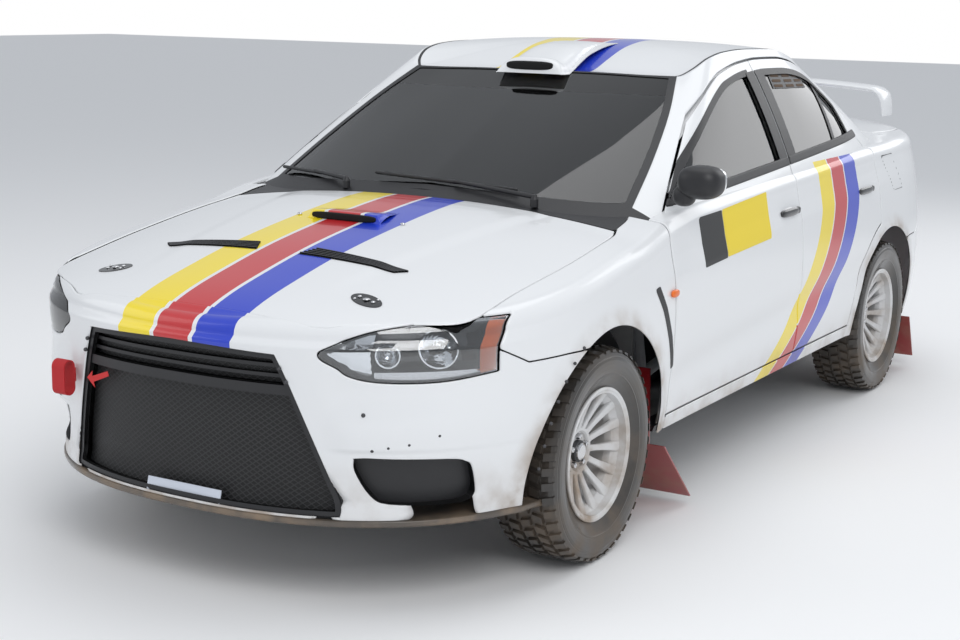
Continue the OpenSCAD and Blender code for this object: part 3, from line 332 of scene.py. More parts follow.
def drawn(points, corner=38, steps=4):
    """A closed outline through points as Catmull-Rom arcs, left sharp where it turns by more than corner degrees."""
    p1 = np.asarray(points, float)
    p0, p2, p3 = np.roll(p1, 1, 0), np.roll(p1, -1, 0), np.roll(p1, -2, 0)
    way = np.arctan2(*(p2 - p1).T[::-1])
    bend = np.abs((way - np.roll(way, 1) + np.pi) % (2 * np.pi) - np.pi) > math.radians(corner)
    p0 = np.where(bend[:, None], 2 * p1 - p2, p0)
    p3 = np.where(np.roll(bend, -1)[:, None], 2 * p2 - p1, p3)
    s = np.linspace(0, 1, steps, endpoint=False)[:, None, None]
    out = 0.5 * (2 * p1 + (p2 - p0) * s + (2 * p0 - 5 * p1 + 4 * p2 - p3) * s**2 + (3 * p1 - p0 - 3 * p2 + p3) * s**3)
    return out.transpose(1, 0, 2).reshape(-1, 2)


def band(rows, corner=38):
    """Outline of a table of rows: place, lowest, highest."""
    rows = np.asarray(rows, float)
    return drawn(np.vstack([rows[:, [0, 1]], rows[::-1][:, [0, 2]]]), corner)


def in_plan(p, outline):
    return within(p[:, :2], outline)


def in_side(p, outline):
    return within(p[:, 1:], outline)


def in_front(p, outline):
    return within(np.stack([np.abs(p[:, 0]), p[:, 2]], 1), outline)


def off_arches(p, grow=0.0):
    """Distance outside the round openings of the wheel arches."""
    front, rear = (np.hypot(p[:, 1] - y, p[:, 2] - tyre_r) for y in (axle_f, axle_r))
    return np.minimum(front, rear) - arch_r - grow


class Signal:
    """One value or colour inside a material, so that its sums, products and comparisons read as arithmetic."""

    def __init__(self, finish, socket):
        self.finish, self.socket = finish, socket

    def math(self, operation, *others):
        return self.finish.node("Math", self, *others, operation=operation)

    def __add__(self, other):
        return self.math("ADD", other)

    def __sub__(self, other):
        return self.math("SUBTRACT", other)

    def __rsub__(self, other):
        return self.finish.node("Math", other, self, operation="SUBTRACT")

    def __mul__(self, other):
        return self.math("MULTIPLY", other)

    def __gt__(self, other):
        return self.math("GREATER_THAN", other)

    def __lt__(self, other):
        return self.math("LESS_THAN", other)

    __radd__, __rmul__ = __add__, __mul__

    def near(self, middle, half):
        """1 where the value lies within half of middle."""
        return (self - middle).math("ABSOLUTE") < half

    def rise(self, low, high):
        """0 below low, 1 above high, by a smooth step."""
        return self.finish.node("MapRange", self, low, high, interpolation_type="SMOOTHSTEP")


class Finish:
    """A Principled material whose inputs are numbers, colours or signals."""

    def __init__(self, name, colour, rough=0.5, metal=0.0, coat=0.0):
        self.material = bpy.data.materials.new(name)
        self.material.use_nodes = True
        self.tree = self.material.node_tree
        self.surface = self.tree.nodes["Principled BSDF"]
        self.at = self.node("TexCoord", out="Object")
        self.x, self.y, self.z = (self.node("SeparateXYZ", self.at, out=k) for k in "XYZ")
        self.set("Base Color", colour)
        self.set("Roughness", rough)
        self.set("Metallic", metal)
        self.set("Coat Weight", coat)
        self.set("Coat Roughness", 0.06)

    def feed(self, socket, value):
        if isinstance(value, Signal):
            self.tree.links.new(value.socket, socket)
        elif socket.type == "RGBA" and len(value) == 3:
            socket.default_value = (*value, 1)
        else:
            socket.default_value = value

    def set(self, name, value):
        self.feed(self.surface.inputs[name], value)

    def node(self, kind, *inputs, out=0, named=None, **settings):
        """Adds one shader node, sets its properties and feeds its enabled inputs in order, or by name."""
        made = self.tree.nodes.new("ShaderNode" + kind)
        for key, value in settings.items():
            setattr(made, key, value)
        for socket, value in zip([s for s in made.inputs if s.enabled], inputs):
            self.feed(socket, value)
        for key, value in (named or {}).items():
            self.feed(made.inputs[key], value)
        return Signal(self, made.outputs[out] if isinstance(out, str) else [s for s in made.outputs if s.enabled][out])

    def noise(self, scale, detail=3.0):
        """Perlin noise around 0.5 on the place in metres, scale per metre."""
        return self.node("TexNoise", named={"Vector": self.at, "Scale": scale, "Detail": detail})

    def mixed(self, amount, first, second):
        return self.node("Mix", amount, first, second, data_type="RGBA")

    def relief(self, height, distance=0.001):
        self.set("Normal", self.node("Bump", named={"Height": height, "Distance": distance}))
        return self

    def dusted(self, colour, top=0.5, strength=0.8, dust=(0.30, 0.22, 0.15)):
        """Dust that thins out from the ground up to top, thicker close round the wheels, broken up by noise."""
        low = 1 - self.z.rise(0.1, top)
        for y in (axle_f, axle_r):
            dy, dz = self.y - y / 1000, self.z - tyre_r / 1000
            away = (dy * dy + dz * dz).math("SQRT")
            low = low + 0.6 * (1 - away.rise(0.37, 0.46))
        amount = (low * (0.25 + 1.3 * self.noise(9.0, 6.0).rise(0.35, 0.75)) * strength).math("MINIMUM", 1.0)
        self.set("Base Color", self.mixed(amount, colour, dust))
        self.set("Roughness", 0.3 + 0.5 * amount)
        self.set("Coat Weight", 0.6 - 0.6 * amount)
        return self


white = (0.80, 0.81, 0.82)


def livery(name, top=True, side=True):
    """White enamel with three stripes along the top and three leaning ones over the doors, dusty along the sills."""
    f = Finish(name, white, 0.3, 0, 0.6)
    colours = ((0.92, 0.72, 0.012), (0.56, 0.02, 0.025), (0.012, 0.045, 0.55))
    shade = f.node("RGB")
    shade.socket.default_value = (*white, 1)
    if top:
        for colour, x in zip(colours, (-0.136, 0.0, 0.136)):
            shade = f.mixed(f.x.near(x, 0.061) * (f.z > 0.7), shade, colour)
    if side:
        left = np.array([[475, 1040], [491, 919], [368, 701], [243, 569], [138, 470], [41, 412], [-20, 370],
                         [-95, 320]]) / 1000
        a, b, c, d = np.polyfit(left[:, 1], left[:, 0], 3)
        s = (f.y - (((a * f.z + b) * f.z + c) * f.z + d)) * (1 / 0.149)
        outer = (f.x.math("ABSOLUTE") > 0.6) * (f.z < 1.045)
        for colour, k in zip(colours, range(3)):
            shade = f.mixed(outer * s.near(k + 0.465, 0.465), shade, colour)
    return f.dusted(shade, 0.46, 0.9)


paint = livery("white_paint")
plain_paint = livery("plain_paint", False, False)
bumper_finish = livery("bumper_paint", True, False)


def simple(name, colour, rough=0.5, metal=0.0, coat=0.0, grain=0.0, scale=400.0, vary=0.0):
    """A finish with optional fine relief and a colour that varies a little."""
    f = Finish(name, colour, rough, metal, coat)
    if grain:
        f.relief(f.noise(scale, 2.0), grain)
    if vary:
        f.set("Base Color", f.mixed(f.noise(14.0, 5.0).rise(0.3, 0.7), colour, tuple(c * (1 - vary) for c in colour)))
        f.set("Roughness", rough + 0.25 * (f.noise(7.0, 4.0) - 0.5))
    return f


def glazing(name, tint, band=False):
    """Thin glass: a tinted see-through layer under a mirror layer that grows with Fresnel."""
    f = Finish(name, (0.02, 0.02, 0.02), 0.03)
    clear = f.node("BsdfTransparent", (*tint, 1))
    mirror = f.node("BsdfGlossy", (1, 1, 1, 1), 0.02)
    share = f.node("Fresnel", 1.75)
    glass = f.node("MixShader", share, clear, mirror)
    f.tree.links.new(glass.socket, f.tree.nodes["Material Output"].inputs["Surface"])
    if band:
        dark = f.node("MixShader", (f.z > band), glass, Signal(f, f.surface.outputs[0]))
        f.tree.links.new(dark.socket, f.tree.nodes["Material Output"].inputs["Surface"])
    return f


black_plastic = simple("black_plastic", (0.018, 0.018, 0.02), 0.42, grain=0.0004)
gloss_black = simple("gloss_black", (0.012, 0.012, 0.013), 0.12, coat=0.4)
# Near-black painted shade: it fills the bonnet louvres' openings and the mouths of the bonnet scoop and roof hood,
# where there is only shadow.
dark_void = simple("dark_void", (0.004, 0.004, 0.004), 0.9)
rubber = Finish("tyre_rubber", (0.022, 0.021, 0.02), 0.75).dusted((0.022, 0.021, 0.02), 0.5, 0.30, (0.16, 0.12, 0.085))
rubber.set("Coat Weight", 0.0)
flap_red = Finish("flap_rubber", (0.3, 0.012, 0.018), 0.5).dusted((0.3, 0.012, 0.018), 0.35, 0.35)
rim_white = Finish("rim_paint", (0.72, 0.73, 0.74), 0.35, 0, 0.3).dusted((0.72, 0.73, 0.74), 0.62, 0.42)
splitter_mat = Finish("splitter_composite", (0.05, 0.045, 0.04), 0.5).dusted((0.05, 0.045, 0.04), 0.5, 0.8)
steel = simple("chassis_steel", (0.09, 0.09, 0.095), 0.5, 0.6, vary=0.3)
alloy = simple("engine_metal", (0.35, 0.35, 0.36), 0.45, 0.8, vary=0.2)
guard = simple("guard_metal", (0.42, 0.42, 0.42), 0.45, 0.9, vary=0.3)
pipe = simple("exhaust_steel", (0.3, 0.27, 0.24), 0.4, 0.9, vary=0.3)
cage_paint = simple("cage_paint", (0.62, 0.64, 0.66), 0.4, coat=0.2)
cloth = simple("seat_cloth", (0.03, 0.03, 0.033), 0.9, grain=0.002, scale=900.0)
leather = simple("wheel_leather", (0.025, 0.022, 0.02), 0.6, grain=0.0006)
webbing = simple("strap_webbing", (0.5, 0.016, 0.02), 0.7, grain=0.001, scale=700.0)
eye_steel = simple("eye_steel", (0.5, 0.02, 0.02), 0.4)
floor_paint = simple("floor_paint", (0.4, 0.4, 0.4), 0.6, vary=0.2)
bright = simple("bright_steel", (0.7, 0.7, 0.71), 0.22, 1.0)
chrome = simple("lamp_chrome", (0.86, 0.87, 0.88), 0.06, 1.0)
brake_iron = simple("brake_iron", (0.28, 0.26, 0.25), 0.35, 0.9, vary=0.2)
amber = simple("amber_lens", (0.85, 0.16, 0.005), 0.3, coat=0.3)
red_lens = simple("red_lens", (0.5, 0.012, 0.015), 0.1, coat=0.9)
yellow_film = simple("yellow_film", (0.86, 0.66, 0.02), 0.35)
black_film = simple("black_film", (0.015, 0.015, 0.015), 0.35)
red_film = simple("red_film", (0.6, 0.02, 0.02), 0.35)
white_film = simple("white_film", (0.62, 0.66, 0.74), 0.4)
windscreen_glass = glazing("windscreen_glass", (0.93, 0.97, 0.96), (roof_height - 172) / 1000)
side_glass = glazing("dark_glass", (0.55, 0.60, 0.60))
rear_glass = glazing("smoked_glass", (0.16, 0.17, 0.18))
lamp_glass = glazing("clear_glass", (0.94, 0.95, 0.96))

# ---- Pieces shown as they are
# Underside, cabin and small castings keep their CAD solids, with their own finish each.
plain_pieces = {
    steel: ["front_suspension", "rear_suspension", "driveline", "front_left_knuckle", "front_right_knuckle"],
    alloy: ["engine_block"], guard: ["sump_guard"], pipe: ["exhaust"], cage_paint: ["roll_cage"], cloth: ["seats"],
    black_plastic: ["dashboard", "wheel_liners", "side_skirts", "wipers", "left_mirror", "scuttle", "front_grille",
                    "bonnet_vents"],
    leather: ["steering_wheel"], floor_paint: ["floor_pan"], flap_red: ["mud_flaps"], webbing: ["tow_strap"],
    eye_steel: ["rear_tow_eye"], splitter_mat: ["front_splitter"],
    rubber: [f"{a}_{b}_tyre" for a in ("front", "rear") for b in ("left", "right")],
    rim_white: [f"{a}_{b}_wheel" for a in ("front", "rear") for b in ("left", "right")],
    paint: ["bonnet", "roof_panel", "boot_lid", "front_left_door", "front_right_door", "rear_left_door",
            "rear_right_door", "side_frames"],
    plain_paint: ["front_bumper", "front_fenders", "rear_bumper", "roof_vent", "rear_wing"],
    chrome: ["headlights"], red_lens: ["tail_lights"], windscreen_glass: ["windscreen"],
    side_glass: ["rear_window", "front_left_window", "front_right_window", "rear_left_window", "rear_right_window"],
}
for finish, names in plain_pieces.items():
    for name in names:
        slots = frame["nodes"][name].data.materials
        slots.clear()
        slots.append(finish.material)


# ---- Bonnet
# The pressed lid between the fenders, with its rolled front edge over the grille.
def height_skin(x0, x1, y0, y1, nx, ny, height):
    """An upper surface z = height(x, y) over a rectangle in plan."""
    x, y = np.meshgrid(np.linspace(x0, x1, nx), np.linspace(y0, y1, ny))
    points = np.stack([x, y, height(x, y)], 2)
    return Skin.grid(points, (0, 0, -900))


def both(outline_rows, corner=60):
    """Outline in plan across the centre plane, from a table of y and greatest |x|."""
    rows = np.asarray(outline_rows, float)
    return drawn(np.vstack([rows, rows[::-1] * [1, -1]])[:, ::-1], corner)


def bonnet_form(x, y):
    """The lid's height: the shared top surface, with two long creases and the raised middle between them."""
    along = (y - (nose_front + 94)) / 1200
    wide = 330 + 190 * along
    middle = 5 * (1 - ease(np.abs(x), wide - 60, wide + 10)) * ease(along, 0.05, 0.4) * (1 - ease(along, 0.85, 1.0))
    return top_z(x, y) + middle - 5


bonnet_outline = both([[nose_front + 94, 300], [nose_front + 100, 420], [nose_front + 150, 505], [nose_front + 240, 640],
                       [axle_f - 560, 738], [axle_f - 350, 750], [axle_f - 45, 762], [axle_f + 230, 752],
                       [axle_f + 305, 735]])
bonnet = height_skin(-800, 800, nose_front + 40, axle_f + 330, 181, 151, bonnet_form)
bonnet = bonnet.trimmed(lambda p: in_plan(p, bonnet_outline), 5).thick(14)
build("bonnet_panel", bonnet, paint, "bonnet_lid", ["bonnet"])

# ---- Scuttle
# The black tray under the windscreen's foot, with its row of intake slots.
scuttle_outline = both([[axle_f + 312, 730], [axle_f + 400, 722], [axle_f + 455, 700], [axle_f + 478, 670],
                        [axle_f + 420, 560], [axle_f + 392, 420], [axle_f + 372, 150], [axle_f + 370, 0]])
scuttle = height_skin(-760, 760, axle_f + 300, axle_f + 500, 121, 41, lambda x, y: top_z(x, y) - 6)
build("scuttle_tray", scuttle.trimmed(lambda p: in_plan(p, scuttle_outline), 3).thick(8), black_plastic,
      "shell", ["scuttle"])

# ---- Front bumper
# One moulding round the nose, with the grille's trapezoid, two fog openings and the lamps' lower edge cut out.
grille = band([[-476, 268, 300], [-450, 268, 380], [-405, 268, 510], [-357, 268, 640], [-325, 268, 712], [0, 268, 722],
               [325, 268, 712], [357, 268, 640], [405, 268, 510], [450, 268, 380], [476, 268, 300]], 20)
fog = band([[514, 398, 436], [545, 330, 438], [585, 306, 436], [712, 300, 430], [742, 308, 420], [752, 330, 400]], 50)
lamp_shape = band([[446, 708, 728], [486, 684, 752], [510, 664, 762], [560, 650, 781], [640, 645, 797], [720, 648, 806],
                   [800, 664, 810]], 60)
fender_seam = 674


def nose_cuts(p):
    """Distance outside grille, fog openings and lamps on the nose."""
    ahead_of = p[:, 1] < axle_f - 440
    lamp_gap = np.where(ahead_of, -in_front(p, lamp_shape) - 3, 500)
    return np.minimum.reduce([-within(p[:, ::2], grille), -in_front(p, fog), lamp_gap])


nose = lower_skin(-1.24, 1.24, 361, body_z, 90, (1, 0.985, 0.97, 0.955, 0.94, 0.92, 0.9, 0.87, 0.84, 0.8, 0.76, 0.7))


def bumper_edge(p):
    """Distance inside the bumper's upper line, which is the bonnet's front edge and then the seam to the fender."""
    seam = np.interp(p[:, 1], [nose_front + 240, front_turn - 350, axle_f], [800, fender_seam, fender_seam]) - p[:, 2]
    return np.minimum.reduce([np.where(p[:, 1] > nose_front + 240, seam, 900),
                              -in_plan(p, bonnet_outline) - gap / 2, nose_cuts(p), off_arches(p) - 1,
                              axle_f - 24 - p[:, 1]])


bumper = nose.trimmed(bumper_edge, 4).thick(9)
build("front_bumper_skin", bumper, bumper_finish, "shell", ["front_bumper"])

# ---- Front fenders
# The wings over the front wheels, from the headlamp back to the door's shut line.
side = lower_skin(0.30, 1.30, 220, frame_z, 100, (1, 0.99, 0.98, 0.965, 0.95, 0.93, 0.91, 0.89, 0.87, 0.85, 0.83, 0.81, 0.79))
door_front = float(cabin(-905))


def fender_edge(p):
    seam = np.where(p[:, 1] > axle_f, 900, np.interp(p[:, 1], [nose_front + 240, front_turn - 350, axle_f],
                                                     [804, fender_seam + 4, fender_seam + 4]))
    above = np.where(p[:, 1] < axle_f, p[:, 2] - seam, 400)
    lamp_gap = np.where(p[:, 1] < axle_f - 440, -in_front(p, lamp_shape) - 3, 500)
    return np.minimum.reduce([above, lamp_gap, -in_plan(p, bonnet_outline) - gap, -in_plan(p, scuttle_outline) - gap,
                              off_arches(p) - 1, door_front - gap - p[:, 1], p[:, 1] - (nose_front + 170),
                              p[:, 2] - frame_z + 0.5, screen_clear(p)])


def screen_clear(p):
    """Distance in front of the windscreen pillar's foot."""
    foot = np.interp(np.abs(p[:, 0]), [640, 700, 760, 800, 900], cabin([-925, -905, -880, -850, -700]))
    return np.where(p[:, 2] > 900, foot - p[:, 1] - 4, 500)


fender = side.trimmed(fender_edge, 4).thick(9)
build("front_fender_skins", fender + fender.mirrored(), plain_paint, "shell", ["front_fenders"])

# ---- Doors
# Outer panels of the four doors below the waist, their lower edge over the sill and the rear one round the arch.
rail_rows = [[-880, 985], [-640, 1122], [-400, 1242], [-250, 1312], [-140, 1358], [-49, 1388], [163, 1420], [333, 1429],
             [527, 1427], [683, 1414], [816, 1384], [926, 1326], [1004, 1262], [1060, 1180], [1105, 1095], [1165, 1040]]
rail = np.array([[float(cabin(a)), b] for a, b in rail_rows])
split = float(cabin(240))
door_rear = float(cabin(1165))


def rail_z(y):
    return curve(y, rail[:, 0], rail[:, 1])


def waist(y):
    return 1004 + 0.055 * (y - door_front)


def door_edge(front, lower=True):
    """Distance inside a door's outline seen from the side: shut lines, sill line, arch, and the rail over the window."""
    def inside(p):
        y, z = p[:, 1], p[:, 2]
        ends = np.minimum(y - door_front, split - gap / 2 - y) if front else np.minimum(y - split - gap / 2, door_rear - y)
        arch = np.hypot(y - axle_r, z - tyre_r) - arch_r - 52
        top = np.where(y < cabin(-870), 976 - z, rail_z(y) - z)
        return np.minimum.reduce([ends, z - door_z, arch if not front else ends + 900, top])
    return inside


flank = lower_skin(1.0, 2.0, 321, frame_z, 100, (1, 0.996, 0.99, 0.985, 0.98, 0.97, 0.96))
fan_rows = np.array([
    [0, -1003, 1010, 0, -203, 1382, 0, -2.2], [300, -985, 1006, 250, -202, 1381, 0, -2.2],
    [560, -935, 996, 440, -200, 1378, 0.1, -2.2], [-132, -872, 984, 552, -192, 1378, 0.35, -1.6],
    [-62, -815, 978, 588, -140, 1404, 0.9, -0.6], [-26, -680, 978, 602, -50, 1440, 1, -0.2],
    [-14, -330, 990, 607, 80, 1459, 1, 0], [-10, 90, 1008, 608, 250, 1465, 1, 0],
    [-10, 480, 1028, 607, 520, 1461, 1, 0], [-14, 850, 1046, 600, 745, 1430, 1, 0.1],
    [-40, 1150, 1060, 584, 880, 1396, 1, 0.3], [-92, 1370, 1076, 548, 945, 1388, 0.7, 1.2],
    [590, 1490, 1092, 430, 975, 1400, 0.1, 2.2], [300, 1545, 1106, 220, 985, 1414, 0, 2.2],
    [0, 1560, 1112, 0, 988, 1420, 0, 2.2]])
for row, z in zip(range(3, 12), (990, 990, 990, 1000, 1010, 1020, 1030, 1040, 1050)):
    fan_rows[row, 0] += side_x(z)
fan_rows[:, 1], fan_rows[:, 4] = cabin(fan_rows[:, 1]), cabin(fan_rows[:, 4])
fan_rows[:, 5] += roof_height - 1488


def fan(u, h, inset=0.0):
    """The greenhouse: u counts the table's columns from the windscreen's middle to the rear window's, h climbs
    from the waist (0) to the roof's edge (1) along a line that bellies out by 16 mm."""
    r = [curve(u, np.arange(15), fan_rows[:, k]) for k in range(8)]
    out = 64 * h * (1 - h)
    low = np.stack([r[0] - inset * r[6], r[1] - inset * r[7], r[2]], -1)
    top = np.stack([r[3] - inset * r[6], r[4] - inset * r[7], r[5]], -1)
    p = low + (top - low) * h[..., None]
    return p + np.stack([out * r[6], out * r[7] / 3, out * 0], -1)


def fan_skin(u0, u1, columns, h0=-0.2, h1=1.0, rows=41, inset=0.0):
    u, h = np.meshgrid(np.linspace(u0, u1, columns), np.linspace(h0, h1, rows))
    points = fan(u, h, inset)
    points[..., 0] = np.where(u == 0, 0, points[..., 0])
    return Skin.grid(points)


def window_edge(front, grow=0.0):
    """Distance inside a door window's outline, which follows the waist and the rail 42 mm under it."""
    y0, y1 = (cabin(-760), cabin(168)) if front else (cabin(312), cabin(985))

    def inside(p):
        y, z = p[:, 1], p[:, 2]
        d = np.minimum.reduce([y - y0, y1 - y, z - waist(y), (rail_z(y) - 42 - z) * (0.8 if front else 0.9)])
        if not front:
            d = np.minimum(d, (rail_z(y) - 52 - z) * 0.75)
        return d + grow
    return inside


def door(name, front):
    """Lower panel and window frame of one left door, as two closed walls."""
    panel = flank.trimmed(lambda p: np.minimum(door_edge(front)(p), 1075 - p[:, 2]), 4)
    frame_part = fan_skin(4.0, 11.0, 221, -0.08, 1.0, 61)
    hole = window_edge(front)
    foot_x = lambda y: np.interp(y, cabin([-868, -815, -640, -400, -198, -60]), [802, 786, 735, 667, 610, 604])
    pillar = lambda p: p[:, 0] - foot_x(p[:, 1]) - gap
    frame_part = frame_part.trimmed(lambda p: np.minimum.reduce([door_edge(front)(p), -hole(p), pillar(p)]), 3)
    return panel.thick(12) + frame_part.thick(14)


for name, front in (("front", True), ("rear", False)):
    leaf = door(name, front)
    build_pair(name + "_{}_door_skin", leaf, paint, name + "_{}_door_leaf", [name + "_{}_door"])


# ---- Side frames
# Windscreen pillars, roof rails, sills and rear quarters: one pressed side on each hand, open at the doors.
def centred(half):
    """A half skin and its mirror image, their normals made equal where they meet on the centre plane."""
    n = half.normals.copy()
    n[np.abs(half.points[:, 0]) < 0.5, 0] = 0
    half = Skin(half.points, n / (np.linalg.norm(n, axis=1)[:, None] + 1e-9), half.faces)
    return half + half.mirrored()


screen_outline = both([[float(cabin(a)), b] for a, b in [(-985, 150), (-965, 420), (-925, 590), (-868, 698),
                                                         (-640, 660), (-400, 604), (-191, 534)]])
backlight_outline = both([[float(cabin(a)), b] for a, b in [(985, 430), (1060, 530), (1200, 580), (1380, 628),
                                                            (1455, 600), (1520, 420), (1545, 150)]])
roof_outline = both([[float(cabin(a)), b] for a, b in [(-191, 534), (-130, 574), (-50, 592), (80, 597), (250, 598),
                                                       (520, 597), (745, 588), (880, 560), (945, 520), (985, 430)]], 40)
boot_outline = both([[float(cabin(1568)), 620], [float(cabin(1600)), 690], [tail_end - 420, 706],
                     [tail_end - 250, 690], [tail_end - 130, 640], [tail_end - 118, 488], [tail_end + 40, 488]])
tail_shape = band([[500, 880, 985], [560, 850, 1000], [640, 838, 1012], [720, 832, 1020], [800, 830, 1024]], 40)


def pillar_x(y):
    """Outer edge of the windscreen pillar seen from above."""
    return np.interp(y, cabin([-960, -868, -815, -640, -400, -198, -60]), [806, 802, 786, 735, 667, 610, 604])


def in_boot(p):
    """Distance inside the boot lid: its deck, and the narrower upright face under it."""
    deck = np.minimum(in_plan(p, boot_outline), p[:, 2] - 1027)
    face = np.minimum.reduce([488 - np.abs(p[:, 0]), p[:, 1] - tail_end + 400, p[:, 2] - 720])
    lamps = np.where(p[:, 1] > axle_r + 600, -in_front(p, tail_shape) - gap / 2, 500)
    return np.minimum(np.maximum(deck, face), lamps)


def bumper_seam(y):
    return np.interp(y, [axle_r, axle_r + 400, axle_r + 560, tail_end + 60], [640, 640, 690, 716])


def off_doors(p):
    """Distance outside both doors, or inside the windscreen pillar."""
    doors = np.maximum(door_edge(True)(p), door_edge(False)(p))
    return np.maximum(-doors - gap, pillar_x(p[:, 1]) - np.abs(p[:, 0]))


foot_u = np.linspace(0, 14, 57)
footprint = fan(foot_u, foot_u * 0 + 0.02, 14)[:, :2]
footprint = np.vstack([footprint, (footprint * [-1, 1])[::-1]])


def quarter_edge(p):
    low = np.where(p[:, 1] > axle_r, p[:, 2] - bumper_seam(p[:, 1]) - 4, p[:, 2] - frame_z + 0.5)
    lamps = np.where(p[:, 1] > axle_r + 600, -in_front(p, tail_shape) - 1, 500)
    cabin_floor = np.where(p[:, 2] > 940, -in_plan(p, footprint), 500)
    doors = np.maximum(door_edge(True)(p), door_edge(False)(p))
    return np.minimum.reduce([low, lamps, cabin_floor, -doors - gap, off_arches(p) - 1, -in_boot(p) - gap,
                              p[:, 1] - door_front])


low_side = lower_skin(1.15, 3.0, 260, frame_z, 66, tuple(np.linspace(1, 0.2, 20)))
low_side = low_side.trimmed(quarter_edge, 4).thick(10)


def upper_edge(p):
    return np.minimum.reduce([off_doors(p), -in_plan(p, screen_outline), -in_plan(p, backlight_outline),
                              -in_plan(p, roof_outline) - 0.5])


def roof_skin(u0=0.0, u1=14.0, columns=141, q0=1.0, q1=0.002, rows=50):
    """The roof as rays from its middle: z runs from the rail's height to the centre line's as 1 - q^3."""
    u, q = np.meshgrid(np.linspace(u0, u1, columns), np.linspace(q0, q1, rows))
    edge = fan(u, q * 0 + 1)
    x, y = edge[..., 0] * q, roof_middle + (edge[..., 1] - roof_middle) * q
    crown = curve(y, cabin([-230, -60, 120, 330, 560, 800, 1000]),
                  np.array([1376, 1446, 1477, 1488, 1484, 1462, 1416]) + roof_height - 1488)
    return Skin.grid(np.stack([x, y, crown + (edge[..., 2] - crown) * q**3], 2), (0, 0, -600))


roof_middle = float(cabin(370))
pillars = fan_skin(1.5, 13.5, 261, -0.12, 1.0, 45).trimmed(upper_edge, 3).thick(12)
rails = roof_skin(1.5, 13.5, 181, 1.0, 0.7, 12).trimmed(upper_edge, 1).thick(10)
frame_left = low_side + pillars + rails
build("side_frame_skins", frame_left + frame_left.mirrored(), paint, "shell", ["side_frames"])

# ---- Roof
# One crowned panel between the rails, from the windscreen's header to the rear window.
roof = centred(roof_skin()).trimmed(lambda p: in_plan(p, roof_outline) - 0.5, 2).thick(10)
build("roof_skin", roof, paint, "shell", ["roof_panel"])

# ---- Boot lid and rear bumper
# The lid's deck folds over into an upright face between the lamps; the bumper closes the tail under them.
tail = lower_skin(2.0, 3.0, 141, 700, 40, tuple(np.linspace(1, 0.12, 40)))
lid = centred(tail).trimmed(in_boot, 4).thick(10)
build("boot_skin", lid, paint, "boot", ["boot_lid"])


def rear_bumper_edge(p):
    pipe_gap = np.hypot(p[:, 0] - 430, p[:, 2] - 250) - 60
    eye_gap = np.maximum.reduce([np.abs(p[:, 0] + 380) - 14, p[:, 2] - 305])
    return np.minimum.reduce([bumper_seam(p[:, 1]) - p[:, 2], off_arches(p) - 1, p[:, 1] - axle_r, pipe_gap, eye_gap])


tail_low = centred(lower_skin(1.9, 3.0, 151, body_z, 70, (1,)))
build("rear_bumper_skin", tail_low.trimmed(rear_bumper_edge, 4).thick(9), plain_paint, "shell",
      ["rear_bumper"])
lens_part = lower_skin(2.2, 3.0, 161, 800, 40, tuple(np.linspace(1, 0.8, 8)))
lens_part = lens_part.raised(-1.0)
lens_part = lens_part.trimmed(lambda p: np.minimum(in_front(p, tail_shape), p[:, 1] - axle_r - 600), 3).thick(14)
build("tail_lenses", lens_part + lens_part.mirrored(), red_lens, "shell", ["tail_lights"])

# ---- Windows
# Bonded screens and fixed door windows, each bellied like the pillars around it.
screen = centred(fan_skin(0.0, 4.2, 81, -0.06, 1.0, 61, 1.5))
screen = screen.trimmed(lambda p: in_plan(p, screen_outline) - 0.5).thick(5)
build("windscreen_pane", screen, windscreen_glass, "shell", ["windscreen"])
backlight = centred(fan_skin(10.2, 14.0, 81, -0.05, 1.0, 61, 1.5))
backlight = backlight.trimmed(lambda p: in_plan(p, backlight_outline) - 0.5).thick(5)
build("rear_window_pane", backlight, side_glass, "shell", ["rear_window"])
for name, front in (("front", True), ("rear", False)):
    pane = fan_skin(4.0, 11.0, 161, -0.05, 1.0, 61, 10.0)
    pane = pane.trimmed(lambda p: np.minimum(window_edge(front, 8)(p), np.abs(p[:, 0]) - pillar_x(p[:, 1]) - 12))
    build_pair(name + "_{}_pane", pane.thick(4), side_glass if front else rear_glass, name + "_{}_door_leaf",
               [name + "_{}_window"])


# ---- Wheels
# Fifteen-spoke cast rims: a stepped barrel with a bolted lip, spokes that lean out to it, and a sunk hub with nuts.
def revolve(profile, steps, middle, axis="x"):
    """Turns a profile of (along, radius) rows about an axis through middle; every row keeps its own ring."""
    profile = np.asarray(profile, float)
    fine = np.repeat(profile, 2, 0)[1:-1]
    a = np.linspace(0, 2 * np.pi, steps + 1)
    rings = []
    for along, r in fine:
        c, s = r * np.cos(a), r * np.sin(a)
        rings.append(np.stack([a * 0 + along, c, s] if axis == "x" else [c, a * 0 + along, s] if axis == "y"
                              else [c, s, a * 0 + along], 1))
    grid = np.array(rings)
    parts = [turned_grid(grid[k:k + 2], fine[k:k + 2], axis) for k in range(0, len(fine), 2)]
    whole = parts[0]
    for part in parts[1:]:
        whole = whole + part
    return Skin(whole.points + middle, whole.normals, whole.faces)


def turned_grid(pair, rows, axis):
    """One band of a revolved profile. Its normal leans by the band's slope, to the left of the way it runs."""
    (a0, r0), (a1, r1) = rows
    size = math.hypot(a1 - a0, r1 - r0) + 1e-9
    along, out = -(r1 - r0) / size, (a1 - a0) / size
    k = "xyz".index(axis)
    flat = pair.reshape(-1, 3).copy()
    ray = flat.copy()
    ray[:, k] = 0
    ray /= np.linalg.norm(ray, axis=1)[:, None] + 1e-9
    normals = ray * out
    normals[:, k] = along
    cols = pair.shape[1]
    a = np.arange(cols - 1)
    faces = np.concatenate([np.stack([a, a + 1, a + cols + 1], 1), np.stack([a, a + cols + 1, a + cols], 1)])
    e = np.cross(flat[faces[:, 1]] - flat[faces[:, 0]], flat[faces[:, 2]] - flat[faces[:, 0]])
    if (e * normals[faces[:, 0]]).sum() < 0:
        faces = faces[:, ::-1]
    return Skin(flat, normals, faces)


